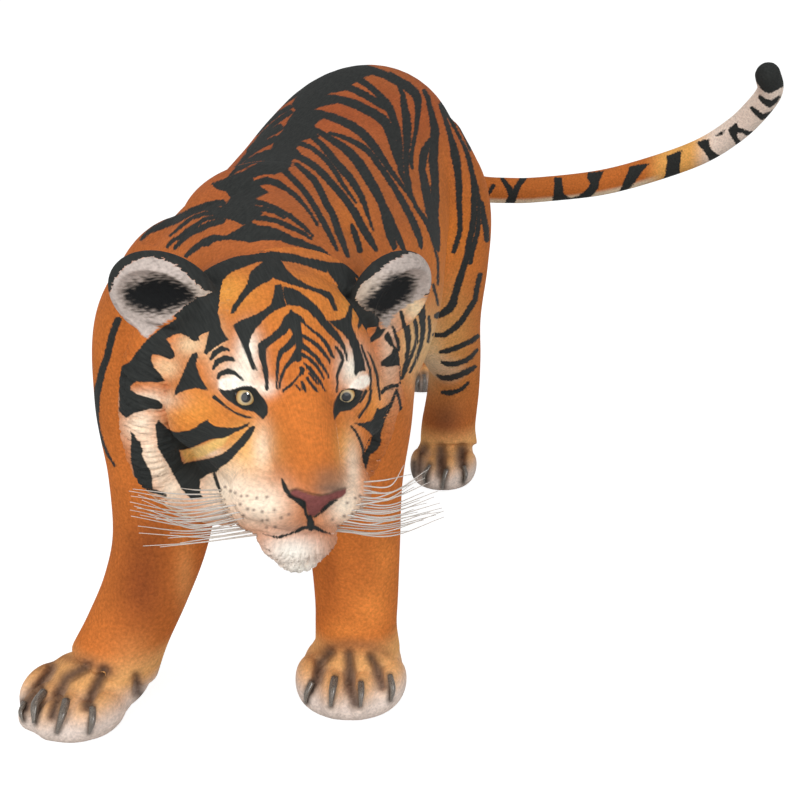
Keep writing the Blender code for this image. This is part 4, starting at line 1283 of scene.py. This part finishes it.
def distance_to_stroke(spots, stroke):
    """Signed distance in pixels from a brush line whose width changes along it."""
    best = np.full(len(spots), FAR_OFF)
    for (ax, ay, aw), (bx, by, bw) in zip(stroke, stroke[1:]):
        way = np.array((bx - ax, by - ay))
        offset = spots - np.array((ax, ay))
        t = np.clip(offset @ way / max(way @ way, 1e-9), 0, 1)
        gap = np.linalg.norm(offset - t[:, None] * way, axis=1)
        best = np.minimum(best, gap - (aw + (bw - aw) * t) / 2)
    return best


def distance_to_patch(spots, outline):
    """Signed distance in pixels from a closed outline, negative inside."""
    best = np.full(len(spots), FAR_OFF)
    inside = np.zeros(len(spots), bool)
    x, y = spots.T
    for (ax, ay), (bx, by) in zip(outline, outline[1:] + outline[:1]):
        way = np.array((bx - ax, by - ay))
        offset = spots - np.array((ax, ay))
        t = np.clip(offset @ way / max(way @ way, 1e-9), 0, 1)
        best = np.minimum(best, np.linalg.norm(offset - t[:, None] * way, axis=1))
        if ay != by:
            crosses = (ay > y) != (by > y)
            inside ^= crosses & (x < (bx - ax) * (y - ay) / (by - ay) + ax)
    return np.where(inside, -best, best)


def draw(pixels, marks, ink):
    """Lowers the ink values near the marks to their signed distance."""
    for mark in marks:
        outline = np.array([spot[:2] for spot in mark])
        low, high = outline.min(axis=0) - FAR_OFF, outline.max(axis=0) + FAR_OFF
        near = np.flatnonzero(((pixels > low) & (pixels < high)).all(axis=1))
        measure = distance_to_stroke if len(mark[0]) == 3 else distance_to_patch
        ink[near] = np.minimum(ink[near], measure(pixels[near], mark))


def distances(pixels, marks):
    """Signed distance in pixels from the nearest of the marks."""
    ink = np.full(len(pixels), FAR_OFF)
    draw(pixels, marks, ink)
    return ink


def open_eyes(points):
    """Sinks the skin between the lids to behind the set eye's ball."""
    pixels = photo_pixels(points)
    for side, (outline, _) in EYES.items():
        centre = np.array(eye_frame(side).translation)
        reach = np.linalg.norm(points - centre, axis=1)
        ahead = (points - centre) @ (np.array(CAMERA_PLACE) - centre) > 0
        near = np.flatnonzero((reach < EYE_RADIUS + LID_REACH) & ahead)
        share = smoothstep(0.9, -0.9, distance_to_patch(pixels[near], outline))
        sunk = reach[near] + share * (EYE_RADIUS - LID_DEPTH - reach[near])
        way = (points[near] - centre) / reach[near, None]
        points[near] = centre + way * sunk[:, None]


def hair_locks(local, across, along):
    """Ridges from 0 to 1 that run outwards from the muzzle, like locks of hair."""
    around = np.arctan2(local[:, 0], local[:, 2] + FACE_MIDDLE)
    out = np.hypot(local[:, 0], local[:, 2] + FACE_MIDDLE)
    spots = np.stack([around * across, out * along, local[:, 1] * along], axis=1)
    values = np.array([noise.noise(spot) for spot in spots.tolist()])
    return 1 - np.abs(values) * 2


def keep_inside(points):
    """Eases the outermost centimetres inwards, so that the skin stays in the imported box."""
    for axis in range(3):
        for sign, corner in ((-1, CAD_BOX[0]), (1, CAD_BOX[1])):
            reach = sign * (points[:, axis] + SHIFT[axis])
            limit = sign * corner[axis]
            excess = reach.max() - limit
            if excess > 1e-6:
                share = np.clip((reach - limit + EASING) / (excess + EASING), 0, 1)
                points[:, axis] -= sign * excess * share


def sculpt_face(points, quads):
    """The finer forms of the head: nose and mouth lines, shaggy ruff and chin, open eyes."""
    normals = vertex_normals(points, quads)
    local = to_local(points, HEAD)
    pixels = photo_pixels(points)
    front = smoothstep(0.05, 0.3, facing(points, normals)) * (local[:, 1] < 0.03)
    push = -LIP_DEPTH * front * smoothstep(2.2, -0.8, distances(pixels, MOUTH))
    push -= NOSTRIL_DEPTH * front * smoothstep(2.0, -1.2, distances(pixels, NOSTRILS))
    push += NOSE_PAD_RISE * front * smoothstep(1.0, -1.5, distances(pixels, [NOSE_PAD]))
    side = smoothstep(0.088, 0.125, np.abs(local[:, 0])) * smoothstep(0.165, 0.12, local[:, 1])
    side *= smoothstep(0.035, -0.01, local[:, 2]) * smoothstep(-0.02, 0.02, local[:, 1])
    chin = smoothstep(-0.118, -0.130, local[:, 2]) * smoothstep(0.02, -0.02, local[:, 1])
    shag = np.maximum(side, chin)
    hairy = np.flatnonzero(shag > 0.01)
    locks = hair_locks(local[hairy], 34, 26) * 0.5 + hair_locks(local[hairy], 80, 45) * 0.5
    push[hairy] += shag[hairy] * (locks - 0.35) * LOCK_HEIGHT
    points += normals * push[:, None]
    open_eyes(points)


def seen_in_photo(points, tree):
    """True for the points that nothing hides from the photograph's camera."""
    ways = points - np.array(CAMERA_PLACE)
    far = np.linalg.norm(ways, axis=1)
    hits = [tree.ray_cast(CAMERA_PLACE, way)[3] for way in ways.tolist()]
    near = np.array([1e9 if hit is None else hit for hit in hits])
    return near > far - 0.006


def sculpt_paws(points, quads):
    """Clefts between the toes, along the same lines as their painted shadows."""
    normals = vertex_normals(points, quads)
    low = np.flatnonzero((points[:, 2] < 0.10) & (facing(points, normals) > 0.05))
    cleft = smoothstep(4.5, -2.5, distances(photo_pixels(points[low]), PAW_SHADES))
    cleft *= smoothstep(0.012, 0.025, points[low, 2])
    points[low] -= normals[low] * (CLEFT_DEPTH * cleft)[:, None]


def path_gap(points, stations):
    """Distance from the points to a path of round stations, as a share of their radius."""
    path = smooth_path(stations, 3)
    best = np.full(len(points), 1e9)
    for a, b in zip(path, path[1:]):
        way = b[:3] - a[:3]
        offset = points - a[:3]
        t = np.clip(offset @ way / (way @ way), 0, 1)
        radius = a[3] + (b[3] - a[3]) * t
        best = np.minimum(best, np.linalg.norm(offset - t[:, None] * way, axis=1) / radius)
    return best


def on_tail(points):
    """True for points of the tail, clear of the rump."""
    near = path_gap(points, tail_path()) < 1.35
    return near & ((points[:, 1] > 0.98) | (points[:, 0] > 0.15))


def blend(coat, colour, cover):
    """Lays a colour over the coat with the given cover, 0 to 1, at each point."""
    coat += np.clip(cover, 0, 1)[:, None] * (np.array(linear(*colour)) - coat)


def airbrush(pixels, coat, colour, places):
    """Sprays the colour: each place is x, y, half width, half height and strength."""
    for x, y, across, down, strength in places:
        gap = ((pixels[:, 0] - x) / across) ** 2 + ((pixels[:, 1] - y) / down) ** 2
        blend(coat, colour, strength * np.exp(-gap * 1.4))


def smear(pixels, coat, colour, strokes, strength, soft):
    """Soft brush lines of the colour."""
    blend(coat, colour, strength * smoothstep(soft, -soft, distances(pixels, strokes)))


def head_pixels(points, seen):
    """The hidden part of the left cheek takes the right cheek's marks."""
    local = to_local(points, HEAD)
    mirrored = to_world(local * (-1, 1, 1), HEAD)
    hidden = (local[:, 0] > 0.03) & ~seen
    pixels = photo_pixels(points)
    pixels[hidden] = photo_pixels(mirrored[hidden])
    return pixels


# Where the photograph hides the body, its stripes are drawn on the side view, at so many pixels
# to the metre. The flank's run down from the back, the haunch's run backwards.
SIDE_SCALE = 700
FLANK_STRIPES = 17
FLANK_START = 0.02
FLANK_SPACING = 0.058
FLANK_TOP = 0.72
FLANK_LOW = 0.30
HAUNCH_STRIPES = 7
HAUNCH_START = 0.80
HAUNCH_TOP = 0.45
HAUNCH_SPACING = 0.052


def side_stroke(count, y_of, z_of, width_of):
    """A brush line on the side view; each part is a function of the share along it."""
    shares = [k / (count - 1) for k in range(count)]
    return [(y_of(t) * SIDE_SCALE, -z_of(t) * SIDE_SCALE, width_of(t)) for t in shares]


def flank_stripes():
    """Bands down the ribs, every second one with a thinner twin, and bands round the haunch."""
    marks = []
    for i in range(FLANK_STRIPES):
        start = FLANK_START + FLANK_SPACING * i
        lean = 0.035 * math.sin(i * 1.7) + 0.02
        bend = 0.010 * math.sin(i * 2.9)
        low = FLANK_LOW + 0.04 * math.sin(i * 2.3)
        broad = 12 + 4 * math.sin(i * 5.1)
        row = side_stroke(
            9,
            lambda t: start + lean * t + bend * math.sin(7 * t + i),
            lambda t: FLANK_TOP + (low - FLANK_TOP) * t,
            lambda t: broad * math.sin(math.pi * (0.3 + 0.7 * t)),
        )
        marks.append(row)
        if i % 2:
            twin = [(x + 12 + 3 * k, y, width * 0.6) for k, (x, y, width) in enumerate(row[4:8])]
            marks.append(twin)
    for i in range(HAUNCH_STRIPES):
        middle, z = HAUNCH_START + HAUNCH_SPACING * i, HAUNCH_TOP - HAUNCH_SPACING * i
        row = side_stroke(
            5,
            lambda t: middle - 0.05 + 0.128 * t,
            lambda t: z - 0.012 * math.sin(3.6 * t + i),
            lambda t: 9 * math.sin(math.pi * (0.1 + 0.8 * t)),
        )
        marks.append(row)
    return marks


def hidden_ink(points, normals):
    """The marks where the photograph shows nothing: bands down the sides, a line on the spine."""
    side = np.stack([points[:, 1], -points[:, 2]], axis=1) * SIDE_SCALE
    ink = distances(side, flank_stripes())
    path = smooth_path(body_path(TRUNK), 4)
    middle = np.interp(points[:, 1], path[:, 1], path[:, 0])
    spine = np.abs(points[:, 0] - middle) - 0.018 - 0.006 * np.sin(points[:, 1] * 70)
    on_top = (normals[:, 2] > 0.1) & (points[:, 1] > 0.2) & (points[:, 1] < 1.0)
    ink[on_top] = np.minimum(ink, spine * SIDE_SCALE)[on_top]
    ink[(points[:, 2] < 0.24) | (np.abs(normals[:, 2]) > 0.93) & (points[:, 2] < 0.4)] = FAR_OFF
    return ink


def paint_ears(points, normals, pixels, coat, ink):
    """Black backs with a pale spot, grey fur, and painted shade that darkens the hollows to
    black.
    """
    tufts = np.array([noise.noise((x * 0.16, y * 0.55, 0)) for x, y in pixels.tolist()])
    fur = smoothstep(1.0, -1.0, distances(pixels, EAR_FUR) + 3 * tufts + 2)
    inwards = distances(pixels, EAR_HOLLOWS) + 7 * tufts
    hollow = smoothstep(5.0, -3.5, inwards)
    wide, _, high = EAR_RADII
    for side in (1, -1):
        spots = to_local(points, ear_frame(side))
        turned = normals @ np.array(ear_frame(side))[:3, :3]
        reach = (spots[:, 0] / wide) ** 2 + (spots[:, 2] / high) ** 2
        ear = (reach < 1.6) & (np.abs(spots[:, 1]) < 0.042) & (spots[:, 2] > -0.040)
        front = ear * smoothstep(0.45, 0.15, turned[:, 1])
        blend(coat, EAR_GREY, fur * front)
        inner_edge = smoothstep(0.2, 0.9, -side * spots[:, 0] / wide)
        blend(coat, EAR_TAN, 0.5 * fur * front * inner_edge)
        # Painted shade round and in the hollows, deepening to black.
        blend(coat, EAR_SHADE, 0.7 * front * smoothstep(9.0, 1.0, inwards))
        blend(coat, HOLLOW_SHADE_BLACK, hollow * front)
        blend(coat, EAR_CREAM, ear * smoothstep(0.2, 0.5, turned[:, 1]))
        bare = (turned[:, 1] > 0.15) | (fur < 0.5)
        rim = ear & (reach < 1.12) & (spots[:, 2] > -0.016) & bare
        pale = np.exp(-((spots[:, 0] / 0.020) ** 2 + ((spots[:, 2] - 0.008) / 0.013) ** 2))
        ink[rim] = np.where(pale > 0.5, FAR_OFF, -FAR_OFF)[rim]


def paint_head(points, normals, seen, coat, ink):
    """Black marks first, then the coat's colours from the widest spray to the smallest dot."""
    pixels = head_pixels(points, seen)
    draw(pixels, RIGHT_EAR + LEFT_EAR + CROWN + BROW + RIGHT_CHEEK + LEFT_CHEEK, ink)
    draw(pixels, EYE_RIMS + MUZZLE + NOSTRILS + MOUTH[:1], ink)
    for colour, places in FACE_COLOURS:
        airbrush(pixels, coat, colour, places)
    blend(coat, LID_WHITE, smoothstep(2.5, -1.5, distances(pixels, WHITE_LIDS)))
    blend(coat, WEDGE_YELLOW, 0.9 * smoothstep(2.5, -2.0, distances(pixels, [CHEEK_WEDGE])))
    blend(coat, NOSE_PINK, smoothstep(0.8, -0.8, distances(pixels, [NOSE_PAD])))
    smear(pixels, coat, NOSE_BROWN, NOSE_EDGE, 0.8, 1.5)
    width = WHISKER_DOT_WIDTH
    dots = [[(x, y, width), (x + 0.5, y, width)] for x, y in WHISKER_DOTS]
    smear(pixels, coat, DOT_GREY, dots, 1.0, 1.6)
    paint_ears(points, normals, pixels, coat, ink)


def paint_body(points, normals, seen, coat, ink):
    """The photograph's marks where it shows the skin, and side-view marks where it doesn't."""
    tail = on_tail(points)
    pixels = photo_pixels(points)
    shown = np.flatnonzero(~tail & seen)
    ink[shown] = distances(pixels[shown], NAPE + BACK + BELLY) - BODY_SPREAD
    unseen = np.flatnonzero(~tail & ~seen)
    ink[unseen] = hidden_ink(points[unseen], normals[unseen])
    own = np.flatnonzero(tail)
    ink[own] = distances(pixels[own], TAIL_MARKS)
    colour_body(points, normals, pixels, tail, coat)


def paint(points, normals, on_head, seen):
    """The paint of a skin: distance from the black marks, coat colour and the hair's flow."""
    ink = np.full(len(points), FAR_OFF)
    coat = np.tile(np.array(linear(*ORANGE)), (len(points), 1))
    brush = paint_head if on_head else paint_body
    brush(points, normals, seen, coat, ink)
    return {"stripe": ink, "coat": coat, "fur": fur_flow(points, on_head)}


# How much wider the body's stripes are than they were drawn, in pixels.
BODY_SPREAD = 0.7

# Sprayed colours: each place is x, y, half width, half height and strength, in pixels.
FACE_COLOURS = [
    ((225, 140, 60), [(300, 300, 90, 50, 0.5)]),
    ((184, 108, 60), [(285, 264, 54, 16, 0.8)]),
    ((240, 165, 75), [(225, 290, 30, 22, 0.8), (352, 305, 16, 22, 0.6)]),
    ((244, 184, 96), [(250, 450, 30, 34, 0.8), (345, 450, 14, 30, 0.7),
                      (225, 470, 26, 24, 0.6)]),
    ((232, 150, 66), [(190, 410, 40, 28, 0.9), (375, 400, 18, 30, 0.7)]),
    ((255, 244, 226), [(240, 376, 22, 20, 1.0), (248, 350, 14, 24, 1.0), (352, 368, 16, 26, 1.0),
                       (265, 388, 14, 10, 0.8)]),
    ((250, 214, 170), [(190, 345, 18, 14, 0.9), (165, 368, 18, 14, 0.9),
                       (215, 345, 14, 30, 0.6)]),
    ((250, 226, 200), [(150, 400, 30, 12, 1.0), (140, 425, 22, 22, 1.0), (150, 455, 16, 26, 1.0),
                       (172, 490, 20, 20, 1.0), (160, 470, 18, 20, 1.0),
                       (390, 350, 14, 60, 0.6)]),
    ((252, 232, 208), [(225, 490, 40, 34, 1.0), (262, 505, 34, 28, 1.0), (262, 448, 12, 28, 0.7),
                       (345, 505, 24, 28, 1.0), (352, 470, 10, 34, 0.9),
                       (205, 452, 18, 5, 0.8)]),
    ((215, 122, 52), [(312, 420, 26, 50, 0.9), (300, 400, 22, 30, 0.7),
                      (318, 460, 24, 26, 0.8)]),
    # Painted shade: grey-brown on the bridge's left side, above the nose.
    ((150, 105, 75), [(328, 478, 20, 14, 0.8)]),
    ((120, 92, 76), [(330, 488, 20, 6, 0.8)]),
    ((253, 246, 234), [(292, 552, 40, 22, 1.0), (300, 570, 34, 14, 1.0)]),
    ((250, 222, 180), [(415, 308, 18, 18, 1.0)]),
]
BODY_COLOURS = [
    ((172, 84, 46), [(250, 150, 70, 60, 0.6), (330, 110, 90, 40, 0.7), (430, 110, 60, 40, 0.5)]),
    ((222, 128, 48), [(455, 240, 30, 40, 0.7), (350, 220, 30, 40, 0.4)]),
    ((134, 68, 34), [(142, 585, 34, 62, 0.85), (150, 540, 28, 30, 0.5),
                     (330, 575, 10, 40, 0.4)]),
    ((236, 142, 66), [(372, 610, 22, 26, 0.8), (345, 632, 26, 14, 0.7),
                      (385, 560, 14, 40, 0.6)]),
    ((226, 152, 88), [(186, 580, 12, 44, 0.8), (135, 655, 30, 22, 0.5)]),
    ((122, 68, 40), [(445, 420, 24, 32, 0.9)]),
    ((236, 176, 104), [(452, 335, 26, 60, 0.7)]),
    ((240, 198, 142), [(432, 350, 12, 34, 0.9), (415, 345, 22, 46, 0.9)]),
]

# Soft shadows over the knuckles and between the toes.
KNUCKLES = [
    [(30, 668, 6), (60, 656, 7), (90, 662, 8), (112, 672, 6)],
    [(312, 656, 5), (328, 647, 7), (350, 644, 8), (372, 646, 7), (388, 655, 5)],
]
PAW_SHADES = [
    [(52, 667, 4), (42, 681, 5), (31, 697, 5), (25, 707, 6)],
    [(86, 667, 6), (66, 678, 6), (60, 691, 5), (55, 706, 5), (53, 716, 5)],
    [(104, 671, 7), (98, 682, 6), (92, 693, 5), (87, 706, 6)],
    [(137, 677, 3), (138, 692, 4)],
    [(330, 653, 5), (320, 663, 5), (317, 678, 5), (310, 690, 4)],
    [(349, 655, 5), (350, 668, 6), (350, 685, 5), (354, 703, 5)],
    [(371, 657, 4), (377, 667, 4), (382, 686, 4)],
    [(424, 448, 4), (420, 455, 4), (419, 472, 3)],
    [(441, 449, 5), (441, 474, 4)],
    [(462, 449, 5), (462, 464, 4)],
]


def colour_body(points, normals, pixels, tail, coat):
    """Brown back, pale belly and tail tip, and paws that are pale with brown shadows."""
    height = points[:, 2]
    upward = smoothstep(0.2, 0.9, normals[:, 2]) * smoothstep(0.3, 0.45, height) * ~tail
    blend(coat, BACK_BROWN, 0.55 * upward)
    for colour, places in BODY_COLOURS:
        airbrush(pixels, coat, colour, places)
    under = smoothstep(-0.35, -0.75, normals[:, 2]) * smoothstep(0.12, 0.3, height)
    blend(coat, BELLY_CREAM, under)
    blend(coat, PAW_TAN, smoothstep(0.100, 0.060, height))
    blend(coat, PAW_PALE, smoothstep(0.058, 0.020, height))
    front = smoothstep(-0.05, 0.1, facing(points, normals))
    blend(coat, KNUCKLE_BROWN, 0.9 * front * smoothstep(9, -9, distances(pixels, KNUCKLES)))
    blend(coat, CLEFT_BROWN, 0.92 * front * smoothstep(9, -3, distances(pixels, PAW_SHADES)))
    # Grey painted shade along each claw, from the root's top to its point.
    claw_shades = [[(*top, 6), (*point, 6)] for top, point in CLAWS]
    blend(coat, CLAW_SHADE_GREY, 0.85 * front * smoothstep(3.5, -3, distances(pixels, claw_shades)))
    blend(coat, TAIL_YELLOW, tail * smoothstep(0.43, 0.48, points[:, 0]))
    blend(coat, TAIL_PALE, tail * smoothstep(0.52, 0.57, points[:, 0]))


def shade_horn():
    """Dark satin horn of the claws."""
    return grained("claw_horn", 260, HORN_STOPS, {"Roughness": 0.35})


def shade_hair():
    """Pale translucent nylon of the whiskers."""
    look = {"Roughness": 0.4, "Subsurface Weight": 0.5, "Subsurface Radius": (0.004,) * 3}
    return grained("whisker_hair", 90, HAIR_STOPS, look)


def shade_eye():
    """Rings of colour round the gaze, with a fine waver, under a clear gloss."""
    made, tree, shader = material("glass_eye")
    grain = node(tree, "TexNoise", {"Scale": 900, "Detail": 3})
    ring = attribute(tree, "ring", "Fac")
    waver = node(tree, "Math", {0: grain, 1: WAVER, 2: ring}, operation="MULTIPLY_ADD")
    stops = [(angle / 90 + WAVER / 2, colour) for angle, colour in EYE_RINGS]
    look = {"Roughness": 0.06, "Specular IOR Level": 0.35}
    fill(tree, shader, {"Base Color": ramp(tree, waver, stops), **look})
    return made


def place_piece(name, bm, made, replaced):
    """A finished mesh, moved from the sculptor's frame into the model's."""
    bmesh.ops.translate(bm, vec=SHIFT, verts=bm.verts)
    item = add_mesh(name, bm)
    item.data.materials.append(made)
    item.data.shade_smooth()
    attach(item, "root")
    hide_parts(*replaced)
    return item


def set_eyes():
    """The glass balls, turned so that each iris shows where it does in the photograph."""
    made = shade_eye()
    for side, word in ((-1, "right"), (1, "left")):
        centre, spot = eye_spot(side, EYES[side][1])
        gaze = spot - centre
        turn = gaze.to_track_quat("Z", "Y").to_matrix().to_4x4()
        bm = bmesh.new()
        ball = Matrix.Translation(centre) @ turn
        bmesh.ops.create_uvsphere(
            bm, u_segments=64, v_segments=64, radius=EYE_RADIUS, matrix=ball
        )
        angles = [(vert.co - centre).angle(gaze) / math.radians(90) for vert in bm.verts]
        item = place_piece("eyeball_" + word, bm, made, ["eye_" + word])
        layer = item.data.attributes.new("ring", "FLOAT", "POINT")
        layer.data.foreach_set("value", angles)


def grow_claws(tree):
    """Curved claws from root to point, as thick as their length asks for."""
    bm = bmesh.new()
    for top, point in CLAWS:
        root, out = spot_on(tree, *top)
        tip, tip_out = spot_on(tree, *point)
        if root is None or tip is None:
            continue
        long = (tip - root).length
        thick = 0.115 * long + 0.0008
        root = root - out * thick * 0.6
        tip = tip + tip_out * 0.003
        tip.z = max(tip.z, 0.002)
        crown = (root + tip) / 2 + (out + tip_out) * long * 0.13
        path = [
            (*root, thick, thick),
            (*crown, thick * 0.85, thick * 0.95),
            (*tip, thick * 0.35, thick * 0.35),
        ]
        loft(bm, path, (tip - root).orthogonal(), points=12, steps=6)
    place_piece("claws", bm, shade_horn(), ["tiger_cast"])


def meet_plane(x, y, depth):
    """Where the ray of a pixel meets the plane at the given head-local depth."""
    inverse = HEAD.inverted()
    start = inverse @ CAMERA_PLACE
    way = inverse.to_3x3() @ photo_ray(x, y)
    return HEAD @ (start + way * ((depth - start.y) / way.y))


def grow_whiskers(tree):
    """Hairs from the whisker pads, each swept to the depth that its side bends to."""
    made = shade_hair()
    for word, hairs, inwards, sweep in (
        ("right", RIGHT_WHISKERS, 1, -0.014),
        ("left", LEFT_WHISKERS, -1, 0.016),
    ):
        bm = bmesh.new()
        for (x, y), low, tip in hairs:
            start, _ = spot_on(tree, x, y)
            while start is None or (HEAD.inverted() @ start).y > PAD_BACK:
                x += inwards
                start, _ = spot_on(tree, x, y)
            depth = (HEAD.inverted() @ start).y
            middle = meet_plane(*low, depth - 0.004)
            end = meet_plane(*tip, depth + sweep)
            first = start - (middle - start) * 0.02
            spots = zip((first, middle, end), WHISKER_RADII)
            loft(bm, [(*spot, r, r) for spot, r in spots], (0, 0, 1), points=6, steps=8)
        names = [f"whisker_{word}_{i}_{j}" for i in range(1, 5) for j in range(1, 7)]
        place_piece("whiskers_" + word, bm, made, names)


def dress_skin():
    """Paints the two skins and cuts them into pieces; gives back skins to cast rays on."""
    fur = painted_fur()
    body, body_quads = body_skin()
    head, head_quads = head_skin()
    keep_inside(body)
    whole_quads = np.vstack([body_quads, head_quads + len(body)])
    tree = skin_tree(np.vstack([body, head]), whole_quads)
    face_tree = skin_tree(head, head_quads)
    sculpt_paws(body, body_quads)
    sculpt_face(head, head_quads)
    for points, quads, on_head, pieces in (
        (body, body_quads, False, BODY_PIECES),
        (head, head_quads, True, HEAD_PIECES),
    ):
        normals = vertex_normals(points, quads)
        paints = paint(points, normals, on_head, seen_in_photo(points, tree))
        middle = points[quads].mean(axis=1)
        back = (to_local(middle, HEAD) if on_head else middle)[:, 1]
        starts = list(pieces.values())
        for name, low, high in zip(pieces, starts, starts[1:] + [np.inf]):
            chosen = (back >= low) & (back < high)
            piece = add_skin(name, points, quads, normals, paints, chosen)
            piece.data.materials.append(fur)
            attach(piece, "root")
            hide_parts("tiger_cast")
    return tree, face_tree


bpy.context.scene.view_settings.view_transform = "Standard"
set_camera()
white_floor()
light_studio()
skin, face = dress_skin()
set_eyes()
grow_claws(skin)
grow_whiskers(face)
